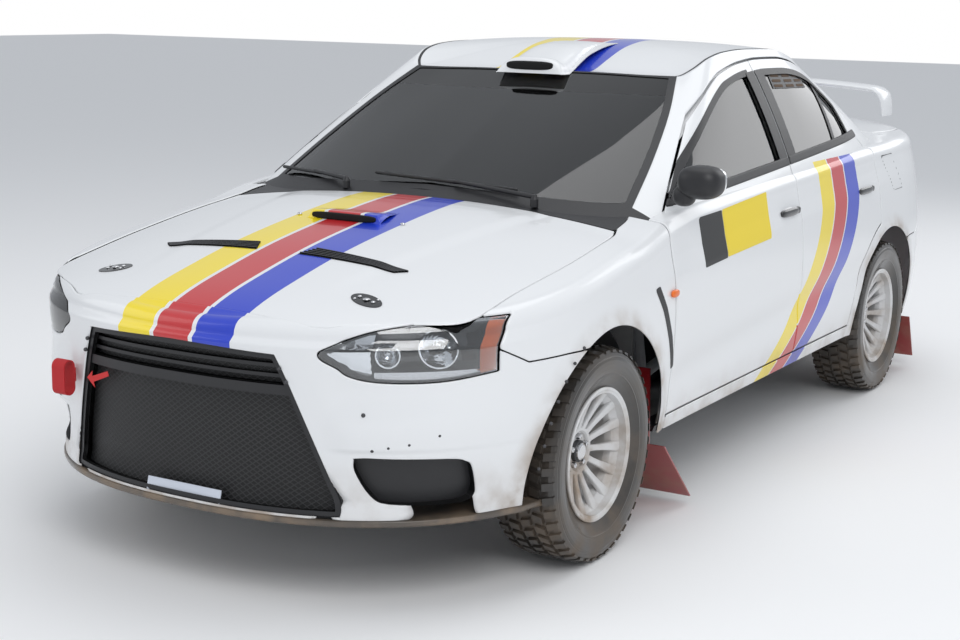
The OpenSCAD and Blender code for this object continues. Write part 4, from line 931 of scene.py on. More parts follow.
def prisms(corners):
    """Flat-sided blocks from (n, 8, 3) corners: 0 to 3 round the bottom, 4 to 7 round the top."""
    sides = np.array([[0, 1, 5, 4], [1, 2, 6, 5], [2, 3, 7, 6], [3, 0, 4, 7], [4, 5, 6, 7], [3, 2, 1, 0]])
    quads = corners[:, sides].reshape(-1, 4, 3)
    n = np.cross(quads[:, 2] - quads[:, 0], quads[:, 3] - quads[:, 1])
    centre = np.repeat(corners.mean(1), 6, 0)
    flip = ((quads.mean(1) - centre) * n).sum(1) < 0
    quads[flip] = quads[flip][:, ::-1]
    n[flip] *= -1
    n /= np.linalg.norm(n, axis=1)[:, None] + 1e-9
    a = np.arange(len(quads))[:, None] * 4
    return Skin(quads.reshape(-1, 3), np.repeat(n, 4, 0), np.vstack([a + [0, 1, 2], a + [0, 2, 3]]))


def tube(rings):
    """A closed pipe through rings (n, m, 3), its ends shut by flat fans."""
    n, m = rings.shape[:2]
    wrapped = np.concatenate([rings, rings[:, :1]], 1)
    normals = np.cross(np.gradient(wrapped, axis=1), np.gradient(wrapped, axis=0))
    ends = (wrapped[:, 1] - wrapped[:, -2])
    normals[:, 0] = normals[:, -1] = np.cross(ends, np.gradient(wrapped, axis=0)[:, 0])
    normals /= np.linalg.norm(normals, axis=2)[..., None] + 1e-9
    a = (np.arange(n - 1)[:, None] * (m + 1) + np.arange(m)).ravel()
    faces = np.concatenate([np.stack([a, a + 1, a + m + 2], 1), np.stack([a, a + m + 2, a + m + 1], 1)])
    centre = np.repeat(rings.mean(1), m + 1, 0)
    points, normals = wrapped.reshape(-1, 3), normals.reshape(-1, 3)
    if ((points - centre) * normals).sum() < 0:
        normals, faces = -normals, faces[:, ::-1]
    body = Skin(points, normals, faces)
    for k, other in ((0, 1), (-1, -2)):
        fan_points = np.vstack([rings[k], rings[k].mean(0)])
        way = rings[k].mean(0) - rings[other].mean(0)
        way = way / (np.linalg.norm(way) + 1e-9)
        f = np.stack([np.arange(m), (np.arange(m) + 1) % m, np.full(m, m)], 1)
        if (np.cross(fan_points[f[:, 1]] - fan_points[f[:, 0]], fan_points[f[:, 2]] - fan_points[f[:, 0]]) * way).sum() < 0:
            f = f[:, ::-1]
        body = body + Skin(fan_points, np.tile(way, (m + 1, 1)), f)
    return body


def pebble(middle, radii, power=2.6, steps=28):
    """A superellipsoid |x/a|^p + |y/b|^p + |z/c|^p = 1."""
    u, v = np.meshgrid(np.linspace(-np.pi, np.pi, 2 * steps), np.linspace(-np.pi / 2, np.pi / 2, steps))
    soft = lambda w: np.sign(w) * np.abs(w) ** (2 / power)
    unit = np.stack([soft(np.cos(v)) * soft(np.cos(u)), soft(np.cos(v)) * soft(np.sin(u)), soft(np.sin(v))], 2)
    n = np.sign(unit) * np.abs(unit) ** (power - 1) / np.asarray(radii, float)
    n /= np.linalg.norm(n, axis=2)[..., None] + 1e-9
    g = Skin.grid(unit * radii + np.asarray(middle, float))
    e = np.cross(g.points[g.faces[:, 1]] - g.points[g.faces[:, 0]], g.points[g.faces[:, 2]] - g.points[g.faces[:, 0]])
    if (e * n.reshape(-1, 3)[g.faces[:, 0]]).sum() < 0:
        g.faces = g.faces[:, ::-1]
    return Skin(g.points, n.reshape(-1, 3), g.faces)


rim_r = 190.0
rim_profile = [(-89, 182), (-89, 202), (-81, 202), (-81, 190), (-49, 190), (-27, 172), (27, 172), (49, 190), (81, 190),
               (81, 201), (84, 202), (87, 202), (89, 200), (89, 194), (86, 190), (84, 184), (60, 182), (40, 168),
               (20, 163), (-30, 163), (-49, 182), (-89, 182)]
hub_profile = [(-40, 34), (-40, 74), (14, 74), (19, 71), (19, 62), (14, 58), (8, 56), (8, 34), (-40, 34)]


def wheel():
    """A left rim with its middle at the origin, outer face towards +x."""
    rim = revolve(rim_profile, 96, (0, 0, 0)) + revolve(hub_profile, 64, (0, 0, 0))
    along = np.linspace(0, 1, 9)
    r = 60 + 122 * along
    face = 17 + 46 * along ** 1.25
    wide = 8.5 + 9 * along ** 2.2 + 5 * (1 - along) ** 6
    deep = 15 + 6 * along
    a = np.linspace(0, 2 * np.pi, 16, endpoint=False)
    c, s = (np.sign(f) * np.abs(f) ** 0.55 for f in (np.cos(a), np.sin(a)))
    ring = np.stack([face[:, None] - deep[:, None] * (1 - c) * 0.5, wide[:, None] * s, r[:, None] + 0 * c[None]], 2)
    for k in range(15):
        t = 2 * np.pi * k / 15
        x, y, z = ring[..., 0], ring[..., 1], ring[..., 2]
        rim = rim + tube(np.stack([x, y * math.cos(t) + z * math.sin(t), z * math.cos(t) - y * math.sin(t)], 2))
    return rim


def fittings():
    """Five nuts and the cap."""
    parts = revolve([(6, 0), (30, 0.1), (30, 20), (27, 26), (6, 27)], 32, (0, 0, 0))
    for k in range(5):
        t = 2 * math.pi * k / 5
        at = np.array([0, 46 * math.sin(t), 46 * math.cos(t)])
        parts = parts + revolve([(6, 0), (22, 0.1), (24, 5), (22, 9), (6, 10)], 6, at)
    return parts


rim_skin, nuts = wheel(), fittings()
for end, y in (("front", axle_f), ("rear", axle_r)):
    for label, skin, finish in (("rim", rim_skin, rim_white), ("nuts", nuts, bright)):
        made = Skin(skin.points + [wheel_x, y, tyre_r], skin.normals, skin.faces)
        build_pair(end + "_{}_" + label, made, finish, end + "_{}_road_wheel",
                   [end + "_{}_wheel"] if label == "rim" else ())

# ---- Brakes
# An iron disc turns with each wheel behind its rim, gripped by a caliper on the hub or the rear axle.
# The discs are smaller than real ones, so that they clear the lower arms at full lock.
brake_x, brake_r = wheel_x - 52, 102
pads = ((-26, brake_r - 44), (14, brake_r - 44), (16, brake_r + 4), (-26, brake_r + 6))
for end, y, turn in (("front", axle_f, 0), ("rear", axle_r, 180)):
    iron = revolve([(-9, 62), (-9, brake_r), (9, brake_r), (9, 62)], 64, np.array([brake_x, y, tyre_r]))
    caliper = tube(np.array([[[brake_x + dx, y + r * math.cos(t), tyre_r + r * math.sin(t)] for dx, r in pads]
                             for t in np.radians(np.linspace(-32, 32, 9) + turn)]))
    build_pair(end + "_{}_disc", iron, brake_iron, end + "_{}_road_wheel")
    build_pair(end + "_{}_caliper", caliper, steel, "{}_hub" if end == "front" else "shell")

# ---- Tyres
# Gravel tyres: flat sidewalls with two raised rings, and five rows of tread blocks round the carcass.
tyre_profile = [(81, 190.6), (81, 203), (84, 212), (92, 228), (99, 240), (101, 242), (101, 247), (102, 249), (104, 258),
                (105.6, 272), (105.8, 284), (104, 292), (103, 293), (103, 297), (100, 306), (95, 311), (84, 313.5)]
tyre_profile = tyre_profile + [(-x, r) for x, r in reversed(tyre_profile)]


def tread():
    """Blocks in five rows: (middle, half width, share of the pitch, skew) each, with deep gaps between."""
    parts = []
    for x, half, share, skew in ((-84, 19, 0.58, 0.25), (-42, 17, 0.62, -0.3), (0, 17, 0.6, 0.3), (42, 17, 0.62, -0.3),
                                 (84, 19, 0.58, 0.25)):
        count = 46
        t = (np.arange(count) + (0.5 if abs(x) == 42 else 0)) * 2 * np.pi / count
        d = np.pi / count * share
        shoulder = 9.0 if abs(x) > 60 else 0.0
        corner = []
        for r, k in ((311.5, 1.0), (323.0, 0.88)):
            for i, j in ((-1, -1), (1, -1), (1, 1), (-1, 1)):
                edge = x + i * half * k
                drop = shoulder * (np.sign(x) * i > 0)
                angle = t + j * d * k + i * skew * d
                rr = r - drop * (0.9 if r > 320 else 0.4)
                corner.append(np.stack([edge + 0 * t, rr * np.sin(angle), rr * np.cos(angle)], 1))
        parts.append(prisms(np.stack(corner, 1)))
    return joined(parts)


carcass = revolve(tyre_profile, 120, (0, 0, 0)) + tread()
for end, y in (("front", axle_f), ("rear", axle_r)):
    made = Skin(carcass.points + [wheel_x, y, tyre_r], carcass.normals, carcass.faces)
    build_pair(end + "_{}_gravel_tyre", made, rubber, end + "_{}_road_wheel", [end + "_{}_tyre"])


# ---- Headlights
# A clear cover over a black tray, with a ribbed reflector, a projector and a large bowl, and an amber end.
def tray(skin, depth):
    """The inside of a recess: a floor depth under the skin and the walls up to its edge, facing out."""
    n = len(skin.points)
    solid = skin.thick(depth)
    floor_faces = skin.faces + n
    walls = solid.faces[2 * len(skin.faces):][:, ::-1]
    return Skin(solid.points, np.vstack([skin.normals, skin.normals]), np.vstack([floor_faces, walls]))


def nose_line(x, z):
    """y of the nose's surface at |x| and z."""
    c = np.clip(np.abs(x) / side_x(z), 0, 1) ** 1.2
    return front_turn - (front_turn - nose_y(z)) * (1 - c * c) ** (1 / 2.4)


def bowl(x, z, radius, depth, rim_depth, aim=26):
    """A round reflector that faces forward and aim degrees outboard, its rim rim_depth behind the cover."""
    rows = [(0, radius + 5), (-3, radius + 4), (-3, radius), (0, radius)]
    rows += [(depth * (1 - (k / 8) ** 2), radius * k / 8) for k in range(8, 0, -1)] + [(depth, 0.5)]
    shape = revolve(rows, 48, (0, 0, 0), "y")
    a = math.radians(aim)
    turn_to = np.array([[math.cos(a), -math.sin(a), 0], [math.sin(a), math.cos(a), 0], [0, 0, 1]])
    y = float(nose_line(x, z)) + rim_depth
    return Skin(shape.points @ turn_to.T + [x, y, z], shape.normals @ turn_to.T, shape.faces)


lamp_area = lambda p: np.where((p[:, 0] > 0) & (p[:, 1] < axle_f - 430), in_front(p, lamp_shape), -50)
cover_base = nose.trimmed(lambda p: lamp_area(p) - 1).trimmed(lambda p: -in_plan(p, bonnet_outline) - gap)
cover = cover_base.raised(-1.5).thick(3)
cavity = tray(cover_base.raised(-5.0), 62)
big, small = bowl(684, 730, 50, 42, 46), bowl(588, 716, 30, 24, 30)
ribs = cover_base.raised(-26.0).trimmed(lambda p: np.minimum.reduce([in_front(p, lamp_shape) - 6, 548 - p[:, 0]]))
ribs.points[:, 1] += 5 * np.abs(np.sin(ribs.points[:, 2] / 6.0))
strip = cover_base.raised(-16.0)
strip = strip.trimmed(lambda p: np.minimum.reduce([in_front(p, lamp_shape) - 5, 672 - p[:, 2], p[:, 0] - 560]))
amber_end = cover_base.raised(-7.0).trimmed(lambda p: np.minimum.reduce([in_front(p, lamp_shape) - 5, p[:, 0] - 768]))
bulbs = pebble((684, float(nose_line(684, 730)) + 74, 730), (11, 14, 11), 2, 12) + pebble(
    (588, float(nose_line(588, 716)) + 46, 716), (24, 20, 24), 2, 16)
for label, skin, finish, slot_name in (
        ("lamp_cover", cover, lamp_glass, "clear_glass"), ("lamp_tray", cavity, gloss_black, "lamp_plastic"),
        ("lamp_bowls", big + small + ribs, chrome, "lamp_plastic"), ("lamp_amber", amber_end, amber, "lamp_plastic"),
        ("lamp_strip", strip, bright, "lamp_plastic"), ("lamp_bulbs", bulbs, lamp_glass, "clear_glass")):
    build_pair("{}_" + label, skin, finish, "shell", ["headlights"] if label == "lamp_tray" else ())

# ---- Grille and fog openings
# A sunk diamond mesh under a plain upper field with a ledge, and plain mesh in the fog openings. The mesh is a solid
# sheet whose open cells are painted near-black as painted shade.
mesh_mat = Finish("grille_mesh", (0.02, 0.02, 0.02), 0.5)
p_side, p_up = mesh_mat.x * 42.0, mesh_mat.z * 62.0
cell = [(p_side + sign * p_up).math("FRACT") - 0.5 for sign in (1, -1)]
web = (cell[0].math("ABSOLUTE").math("MAXIMUM", cell[1].math("ABSOLUTE"))).rise(0.36, 0.42)
# The open cells of the diamond mesh are painted near-black (0.002) as painted shade; the web between them keeps the
# mesh's own dark plastic colour.
mesh_mat.set("Base Color", mesh_mat.mixed(web, (0.002, 0.002, 0.002), (0.035, 0.035, 0.037)))
mesh_mat.relief(web, 0.004)

in_grille = lambda p: np.where(p[:, 1] < axle_f - 500, within(p[:, ::2], grille), -50)
grille_base = nose.trimmed(lambda p: in_grille(p) + 6)
fog_base = nose.trimmed(lambda p: np.where(p[:, 1] < axle_f - 400, in_front(p, fog) + 6, -50))
ledge = grille_base.trimmed(lambda p: 14 - np.abs(p[:, 2] - 612)).raised(-12.0).thick(26)
frame_ring = grille_base.trimmed(lambda p: 15 - in_grille(p)).raised(-8.0).thick(26)
bars = joined(grille_base.trimmed(lambda p: 5 - np.abs(p[:, 2] - z)).raised(-24.0).thick(12) for z in (648, 676, 704))
build("grille_mesh", grille_base.raised(-36.0).thick(3) + fog_base.raised(-40.0).thick(3), mesh_mat, "shell",
      ["front_grille"])
build("grille_frame", ledge + frame_ring + bars, black_plastic, "shell")
fog_rim = nose.trimmed(lambda p: np.where(p[:, 1] < axle_f - 400, in_front(p, fog) + 1, -50))
build("fog_walls", tray(fog_rim.raised(-4.0), 34), black_plastic, "shell")
build("grille_walls", tray(nose.trimmed(lambda p: in_grille(p) + 1).raised(-4.0), 36), black_plastic, "shell")

# ---- Splitter and number plate
# A composite blade under the bumper, thicker at its lip, with a blank plate on its middle.
edge_t = np.linspace(-0.98, 0.98, 181)
ex, ey = plan_point(np.abs(edge_t), body_z, -4)
ix, iy = plan_point(np.abs(edge_t), body_z, 150)
outer = np.stack([ex * np.sign(edge_t), np.minimum(ey, axle_f - 300)], 1)
inner = np.stack([ix * np.sign(edge_t), np.minimum(iy, axle_f - 300)], 1)
ring = [(outer, body_z - 6), (outer * [0.998, 1] + [0, 2], body_z - 0.6), (inner, body_z - 0.6), (inner, body_z - 19),
        (outer * [0.998, 1] + [0, 2], body_z - 19.6), (outer, body_z - 14)]
blade = tube(np.stack([np.concatenate([xy, np.full((len(xy), 1), z)], 1) for xy, z in ring], 1))
build("splitter_blade", blade, splitter_mat, "shell", ["front_splitter"])
plate_y = float(nose_line(0, 285)) - 4
plate = prisms(np.array([[[-135, plate_y + 2, 262], [128, plate_y + 2, 262], [128, plate_y + 5, 262], [-135, plate_y + 5, 262],
                          [-135, plate_y + 12, 303], [128, plate_y + 12, 303], [128, plate_y + 15, 303],
                          [-135, plate_y + 15, 303]]], float))
build("blank_plate", plate, white_film, "shell")


# ---- Bonnet fittings
# The scoop with its mouth, two slatted louvres, two catches and the washer jets. The louvres' openings and the scoop's
# mouth are near-black painted shade.
def on_bonnet(outline, up=1.0, depth=2.0):
    return bonnet_flat.trimmed(lambda p: in_plan(p, np.asarray(outline, float))).raised(up).thick(depth)


bonnet_flat = height_skin(-560, 560, nose_front + 100, axle_f + 60, 281, 261, bonnet_form)


def turned(outline, middle, degrees):
    a = math.radians(degrees)
    return np.asarray(outline, float) @ np.array([[math.cos(a), math.sin(a)], [-math.sin(a), math.cos(a)]]) + middle


louvre_outline = turned([[-185, -26], [150, -50], [185, -24], [-150, 30]], [258, axle_f - 390], 4)
louvre = on_bonnet(louvre_outline, 0.8, 2.0)
slats = None
for k in range(5):
    s = (k + 0.5) / 5
    low = louvre_outline[0] * (1 - s) + louvre_outline[3] * s
    far = louvre_outline[1] * (1 - s) + louvre_outline[2] * s
    row = on_bonnet(np.array([low, far, far + [0, 5], low + [0, 5]]), 4.5, 3.5)
    slats = row if slats is None else slats + row
# A near-black sheet of painted shade under the slats, standing for the dark inside of the louvre openings.
build("louvres", louvre + louvre.mirrored(), dark_void, "bonnet_lid", ["bonnet_vents"])
build("louvre_slats", slats + slats.mirrored(), black_plastic, "bonnet_lid")


def scoop_form(x, y):
    """A hood that stands up at its forward mouth and sinks back into the bonnet behind it."""
    s = ease(y, axle_f - 96, axle_f - 88) * (1 - ease(y, axle_f - 84, axle_f + 40))
    return bonnet_form(x, y) + 24 * s * (1 - ease(np.abs(x), 118, 142)) + 0.6


scoop = height_skin(-155, 155, axle_f - 98, axle_f + 50, 81, 121, scoop_form)
build("scoop", scoop.trimmed(lambda p: in_plan(p, both([[axle_f - 97, 138], [axle_f + 46, 116]]))).thick(3), paint,
      "bonnet_lid")
# The scoop's mouth is a near-black pebble of painted shade.
mouth = pebble((0, axle_f - 92, float(bonnet_form(0, axle_f - 92)) + 10), (120, 9, 11), 4)
build("scoop_mouth", mouth, dark_void, "bonnet_lid")
catch = None
for x in (-1, 1):
    a = np.linspace(0, 2 * np.pi, 40, endpoint=False)
    at = np.array([x * 452, axle_f - 622])
    oval = turned(np.stack([54 * np.cos(a), 30 * np.sin(a)], 1), at, -14 * x)
    piece = on_bonnet(oval, 2.2, 3.5)
    catch = piece if catch is None else catch + piece
build("bonnet_catches", catch, gloss_black, "bonnet_lid")
studs = None
for x in (-1, 1):
    for dx, dy, r in ((-26, 6, 6), (26, -6, 6), (0, 0, 11), (30, 12, 4), (-30, -12, 4)):
        px, py = x * (452 + dx), axle_f - 622 + dy
        s = pebble((px, py, float(bonnet_form(px, py)) + 4), (r, r, 4), 2, 10)
        studs = s if studs is None else studs + s
for px in (-186, 203):
    studs = studs + pebble((px, axle_f - 70, float(bonnet_form(px, axle_f - 70)) + 3), (9, 7, 5), 2, 10)
build("bonnet_studs", studs, bright, "bonnet_lid")


# ---- Mirror, handles and mouldings
# Black plastic trim on the doors: the left mirror on its foot, pull handles, waist strips and window seals.
mirror = pebble((908, float(cabin(-792)), 1084), (72, 64, 53), 2.7)
foot = pebble((858, float(cabin(-806)), 1040), (36, 34, 34), 2.4)
build("mirror_shell", mirror + foot, black_plastic, "front_left_door_leaf", ["left_mirror"])
mirror_pane = pebble((912, float(cabin(-792)) + 56, 1085), (58, 7, 42), 3)
build("mirror_glass", mirror_pane, chrome, "front_left_door_leaf")

wide_flank = lower_skin(0.8, 2.4, 421, frame_z, 100)


def decal(outline, up=1.0, depth=1.5, base=wide_flank):
    shape = np.asarray(outline, float)
    return base.trimmed(lambda p: in_side(p, shape)).raised(up).thick(depth)


for name, front, y in (("front", True, 128), ("rear", False, 1000)):
    handle = pebble((float(side_x(892)) + 4, y, 892), (12, 86, 15), 3)
    lock = pebble((float(side_x(892)) + 2, y + 92, 892), (8, 14, 13), 3)
    cup = pebble((float(side_x(885)) - 4, y, 882), (8, 78, 26), 2.6)
    strip = fan_skin(4.2, 10.4, 161, -0.1, 0.2, 21)
    strip = strip.trimmed(lambda p: np.minimum.reduce([door_edge(front)(p), p[:, 2] - waist(p[:, 1]) + 12,
                                                       waist(p[:, 1]) + 12 - p[:, 2], p[:, 1] - cabin(-770)]), 2)
    seal = fan_skin(4.0, 11.0, 161, -0.08, 1.0, 61)
    seal = seal.trimmed(lambda p: np.minimum.reduce([window_edge(front, 13)(p), 4 - window_edge(front)(p),
                                                     np.abs(p[:, 0]) - pillar_x(p[:, 1]) - gap - 2, door_edge(front)(p)]))
    for label, skin, finish in (("handle", handle + lock, gloss_black), ("handle_cup", cup, paint),
                                ("waist_strip", strip.raised(4.0).thick(6), black_plastic),
                                ("window_seal", seal.raised(1.2).thick(3), black_plastic)):
        build_pair(name + "_{}_" + label, skin, finish, name + "_{}_door_leaf")

plate_rows = {"door_plate": ([[-670, 956], [-479, 961], [-476, 804], [-661, 794]], black_film),
              "door_banner": ([[-475, 962], [-67, 983], [-73, 822], [-472, 806]], yellow_film)}
for label, (outline, finish) in plate_rows.items():
    build_pair(label + "_{}", decal(outline), finish, "front_{}_door_leaf")
slot_skin = decal([[-1050, 778], [-1000, 705], [-950, 605], [-915, 505], [-897, 512], [-925, 612], [-972, 712],
                   [-1018, 784]])
flap_outline = np.array([[1267, 1011], [1406, 1014], [1495, 863], [1369, 861]], float)
flap_ring = wide_flank.trimmed(lambda p: np.minimum(in_side(p, flap_outline) + 1.5, 2.5 - in_side(p, flap_outline)))
marker = pebble((float(side_x(749)) + 12, -922, 749), (7, 26, 12), 2.6)
build_pair("{}_fender_slot", slot_skin, black_plastic, "shell")
build_pair("{}_side_marker", marker, amber, "shell")
build("fuel_flap_line", flap_ring.raised(0.8).thick(1.5), black_film, "shell")

# ---- Rear wing
# An aerofoil across the boot whose ends bend down into posts.
sweep_x = np.concatenate([np.linspace(0, 540, 10), [572, 596, 608, 614, 616]])
sweep_z = np.concatenate([1262 + 14 - 24 * (np.linspace(0, 540, 10) / 540) ** 2, [1246, 1226, 1196, 1160, 1128]])
chord = np.concatenate([np.linspace(186, 196, 10), [192, 182, 166, 152, 146]])
way = np.stack([np.gradient(sweep_x), np.gradient(sweep_z)], 1)
way /= np.linalg.norm(way, axis=1)[:, None]
a = np.linspace(0, 2 * np.pi, 32, endpoint=False)
section = np.stack([0.5 * np.cos(a), 0.075 * np.sin(a) * (1 - 0.35 * np.cos(a))], 1)
wing_y = tail_end - 200
across, up, wide = sweep_x[:, None], sweep_z[:, None], chord[:, None]
wing_rings = np.stack([across - way[:, 1:] * wide * section[:, 1],
                       wing_y - 6 + 14 * (across / 610) ** 2 + wide * section[:, 0],
                       up + way[:, :1] * wide * section[:, 1]], -1)
half_wing = tube(wing_rings)
build("wing", half_wing + half_wing.mirrored(), plain_paint, "boot", ["rear_wing"])

# ---- Roof vent
# A low hood on the roof with its mouth forwards, the mouth a near-black pebble of painted shade.
crown_line = lambda y: curve(y, cabin([-230, -60, 120, 330, 560, 800, 1000]),
                             np.array([1376, 1446, 1477, 1488, 1484, 1462, 1416]) + roof_height - 1488)


def vent_form(x, y):
    """Height of the hood: a rounded brow at the mouth that sinks into the roof towards the rear."""
    s = np.clip((y - cabin(-290)) / 450.0, 0, 1)
    tall = 62 * (1 - s) ** 0.9 * np.sqrt(np.clip(1 - (1 - np.clip(s / 0.08, 0, 1)) ** 2, 0, 1))
    across = np.clip(1 - (np.abs(x) / (134 - 46 * s)) ** 3.2, 0, 1) ** 0.5
    return crown_line(y) + np.minimum(tall, roof_height + 8 - crown_line(y)) * across - 3


vent = height_skin(-136, 136, float(cabin(-292)), float(cabin(160)), 91, 121, vent_form)
build("roof_hood", vent.thick(4), plain_paint, "shell", ["roof_vent"])
# The hood's mouth is a near-black pebble of painted shade.
vent_mouth = pebble((0, float(cabin(-282)), float(crown_line(cabin(-270))) + 24), (96, 14, 16), 3.4)
build("roof_hood_mouth", vent_mouth, dark_void, "shell")

# ---- Seals, pillar covers and screen surrounds
# Black rubber and plastic around the glass, the covers of the middle pillars, the sail at the mirror's foot,
# the roof's ditch mouldings and the flange of the shell behind each door's edge.
for name, front in (("front", True), ("rear", False)):
    y0, y1 = (float(cabin(158)), split - 5) if front else (split + 5, float(cabin(322)))
    post = fan_skin(5.5, 9.0, 141, -0.05, 1.0, 81).trimmed(lambda p: np.minimum.reduce(
        [p[:, 1] - y0, y1 - p[:, 1], rail_z(p[:, 1]) - 36 - p[:, 2], p[:, 2] - waist(p[:, 1]) + 4])).raised(2.6).thick(4)
    build_pair(name + "_{}_pillar_cover", post, black_plastic, name + "_{}_door_leaf")
sail = fan_skin(3.6, 6.0, 121, -0.1, 0.5, 61).trimmed(lambda p: np.minimum.reduce(
    [door_edge(True)(p), cabin(-745) - p[:, 1], p[:, 2] - waist(p[:, 1]) + 14, np.abs(p[:, 0]) - pillar_x(p[:, 1]) - gap - 2]), 2)
panel_outline = np.array([[392, 1377], [743, 1366], [752, 1311], [383, 1321]], float)
pane_base = fan_skin(6.5, 10.5, 201, 0.0, 1.0, 101, 7.0)
vent_panel = pane_base.trimmed(lambda p: in_side(p, panel_outline)).thick(2)


def vent_slot(i, j):
    """Slot i along and j up in the three by three grid, whose corners lie bilinearly between the panel's corners."""
    top_left, top_right, low_right, low_left = panel_outline
    at = lambda u, v: (low_left * (1 - u) + low_right * u) * (1 - v) + (top_left * (1 - u) + top_right * u) * v
    u0, u1, v0, v1 = (i + 0.14) / 3, (i + 0.84) / 3, (j + 0.25) / 3, (j + 0.75) / 3
    corners = np.array([at(u0, v0), at(u1, v0), at(u1, v1), at(u0, v1)])
    return pane_base.raised(1.2).trimmed(lambda p: in_side(p, corners)).thick(2)


vent_slots = joined(vent_slot(i, j) for i in range(3) for j in range(3))
divider_outline = np.array([[846, 1330], [874, 1322], [803, 1052], [775, 1052]], float)
divider = pane_base.trimmed(lambda p: in_side(p, divider_outline)).raised(1).thick(3)
tan_film = simple("vent_netting", (0.10, 0.06, 0.035), 0.8)
build_pair("{}_mirror_sail", sail.raised(3.5).thick(5), black_plastic, "front_{}_door_leaf")
build_pair("{}_window_vent", vent_panel + divider, black_plastic, "rear_{}_door_leaf")
build_pair("{}_vent_slots", vent_slots, tan_film, "rear_{}_door_leaf")

inside_screen = lambda p: in_plan(p, screen_outline)
surround = fan_skin(0.0, 4.6, 161, -0.12, 1.0, 121)
edge_band = surround.trimmed(lambda p: np.minimum(20 - inside_screen(p), inside_screen(p) + 7)).raised(1.6).thick(3)
cowl = surround.trimmed(lambda p: np.minimum.reduce([2 - inside_screen(p), 1012 - p[:, 2], cabin(-862) - p[:, 1]]))
cowl = cowl.raised(2.2).thick(4)
rear_band = fan_skin(10.2, 14.0, 121, -0.08, 1.0, 101)
rear_band = rear_band.trimmed(lambda p: np.minimum(22 - in_plan(p, backlight_outline), in_plan(p, backlight_outline) + 6))
ditch = roof_skin(2.6, 12.2, 241, 1.0, 0.82, 41)
ditch = ditch.trimmed(lambda p: np.minimum(5 - np.abs(in_plan(p, roof_outline)), p[:, 1] - cabin(-185))).raised(0.8).thick(3)
bands = edge_band + cowl + rear_band.raised(1.6).thick(3) + ditch
build("screen_surrounds", bands + bands.mirrored(), black_plastic, "shell")

doors_in = lambda p: np.maximum(door_edge(True)(p), door_edge(False)(p))
flange_up = fan_skin(3.0, 12.0, 241, -0.05, 1.0, 61).raised(-19.0)
flange_up = flange_up.trimmed(lambda p: np.minimum.reduce([26 - doors_in(p), -in_plan(p, screen_outline) - 6,
                                                           -in_plan(p, backlight_outline) - 6, rail_z(p[:, 1]) + 24 - p[:, 2]]))
flange_low = lower_skin(0.95, 2.1, 201, frame_z + 4, 70, (1, 0.99)).raised(-19.0)
flange_low = flange_low.trimmed(lambda p: np.minimum.reduce([26 - doors_in(p), doors_in(p) + 30, off_arches(p, 8)]))
flange = flange_up.thick(3) + flange_low.thick(3)
build("door_apertures", flange + flange.mirrored(), plain_paint, "shell")

# ---- Bumper fixings
# Stitches and bolts where the bumper meets the fenders and beside the grille.
dots = None
for x, z in ((596, 470), (640, 478), (560, 462), (356, 640), (340, 676), (545, 560), (700, 500)):
    y = float(nose_line(x, z)) - 4
    dot = pebble((x, y, z), (6, 6, 6), 2, 8)
    dots = dot if dots is None else dots + dot
for t in np.radians(np.linspace(118, 172, 7)):
    y, z = axle_f + (arch_r + 20) * math.cos(t), tyre_r + (arch_r + 20) * math.sin(t)
    dots = dots + pebble((float(side_x(z) + side_form(np.array(y), np.array(z))) - 3, y, z), (5, 5, 5), 2, 8)
build("bumper_bolts", dots + dots.mirrored(), steel, "shell")

# ---- Tow arrow
# A red pointer on the grille beside the strap.
arrow = np.array([[-351, 560], [-322, 534], [-326, 550], [-268, 574], [-272, 588], [-332, 566], [-330, 582]], float)
ay = float(nose_line(310, 560)) - 2
flat_arrow = Skin(np.stack([arrow[:, 0], np.full(7, ay), arrow[:, 1]], 1), np.tile([0.0, -1.0, 0.0], (7, 1)),
                  np.array([[0, 1, 2], [0, 2, 5], [0, 5, 6], [2, 3, 4], [2, 4, 5]]))
build("tow_arrow", flat_arrow.thick(2), red_film, "shell")

# ---- Camera, floor and light
# A long lens low on the car's left front, a pale floor and four large soft lamps.
turn, down, tilt = map(math.radians, (30.6448, 11.1434, 0.98048))
ahead = np.array([-math.sin(turn) * math.cos(down), math.cos(turn) * math.cos(down), -math.sin(down)])
right = np.array([math.cos(turn), math.sin(turn), 0])
over = np.cross(right, ahead)
right, over = right * math.cos(tilt) + over * math.sin(tilt), over * math.cos(tilt) - right * math.sin(tilt)
lens = bpy.data.cameras.new("camera")
lens.lens = 62.07
lens.sensor_width = 36
lens.clip_end = 200
camera = bpy.data.objects.new("camera", lens)
bpy.context.scene.collection.objects.link(camera)
turned = Matrix(np.column_stack([right, over, -ahead]).tolist()).to_4x4()
turned.translation = (2.95447, -5.58576, 1.65150)
camera.matrix_world = turned
bpy.context.scene.camera = camera


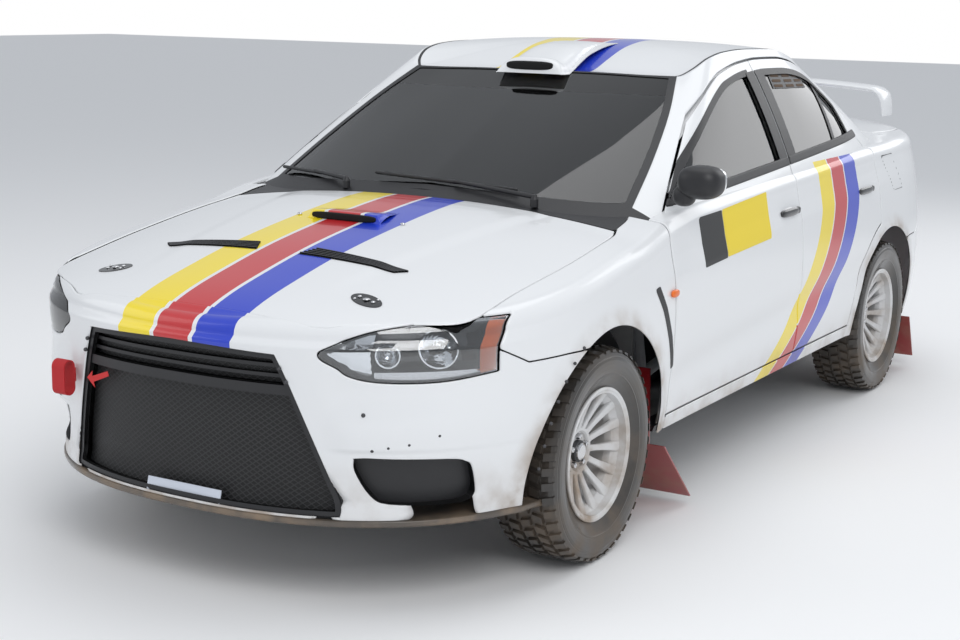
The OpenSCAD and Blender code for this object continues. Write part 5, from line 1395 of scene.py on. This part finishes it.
def lamp(name, place, aim, size, power, colour=(1, 1, 1)):
    """A square area light at place that faces aim."""
    light = bpy.data.lights.new(name, "AREA")
    light.size, light.energy, light.color = size, power, colour
    holder = bpy.data.objects.new(name, light)
    holder.location = place
    holder.rotation_euler = (Vector(aim) - Vector(place)).to_track_quat("-Z", "Y").to_euler()
    bpy.context.scene.collection.objects.link(holder)
    holder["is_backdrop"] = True


lamp("key", (4.5, -5.0, 5.5), (0, 0, 0.6), 4.0, 190)
lamp("fill", (-5.5, -4.5, 4.0), (0, -0.5, 0.6), 4.5, 60)
lamp("top", (0.5, 0.5, 6.5), (0, 0, 0), 5.0, 90)
lamp("back", (2.5, 6.5, 4.0), (0, 0.5, 0.8), 4.0, 80)

ground = bpy.data.meshes.new("floor")
ground.from_pydata([(-40, -40, 0), (40, -40, 0), (40, 40, 0), (-40, 40, 0)], [], [(0, 1, 2, 3)])
floor = bpy.data.objects.new("floor", ground)
bpy.context.scene.collection.objects.link(floor)
ground.materials.append(Finish("floor", (0.92, 0.92, 0.92), 0.8).material)
floor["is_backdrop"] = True

world = bpy.data.worlds.new("studio")
bpy.context.scene.world = world
world.use_nodes = True
sky = world.node_tree
ray = sky.nodes.new("ShaderNodeLightPath")
soft, pure = sky.nodes["Background"], sky.nodes.new("ShaderNodeBackground")
soft.inputs["Color"].default_value, soft.inputs["Strength"].default_value = (0.9, 0.94, 1.0, 1), 0.6
pure.inputs["Color"].default_value, pure.inputs["Strength"].default_value = (1, 1, 1, 1), 1.0
seen = sky.nodes.new("ShaderNodeMath")
seen.operation = "MAXIMUM"
sky.links.new(ray.outputs["Is Camera Ray"], seen.inputs[0])
sky.links.new(ray.outputs["Is Transmission Ray"], seen.inputs[1])
blend = sky.nodes.new("ShaderNodeMixShader")
sky.links.new(seen.outputs[0], blend.inputs[0])
sky.links.new(soft.outputs[0], blend.inputs[1])
sky.links.new(pure.outputs[0], blend.inputs[2])
sky.links.new(blend.outputs[0], sky.nodes["World Output"].inputs["Surface"])
bpy.context.scene.view_settings.view_transform = "Standard"

low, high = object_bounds()
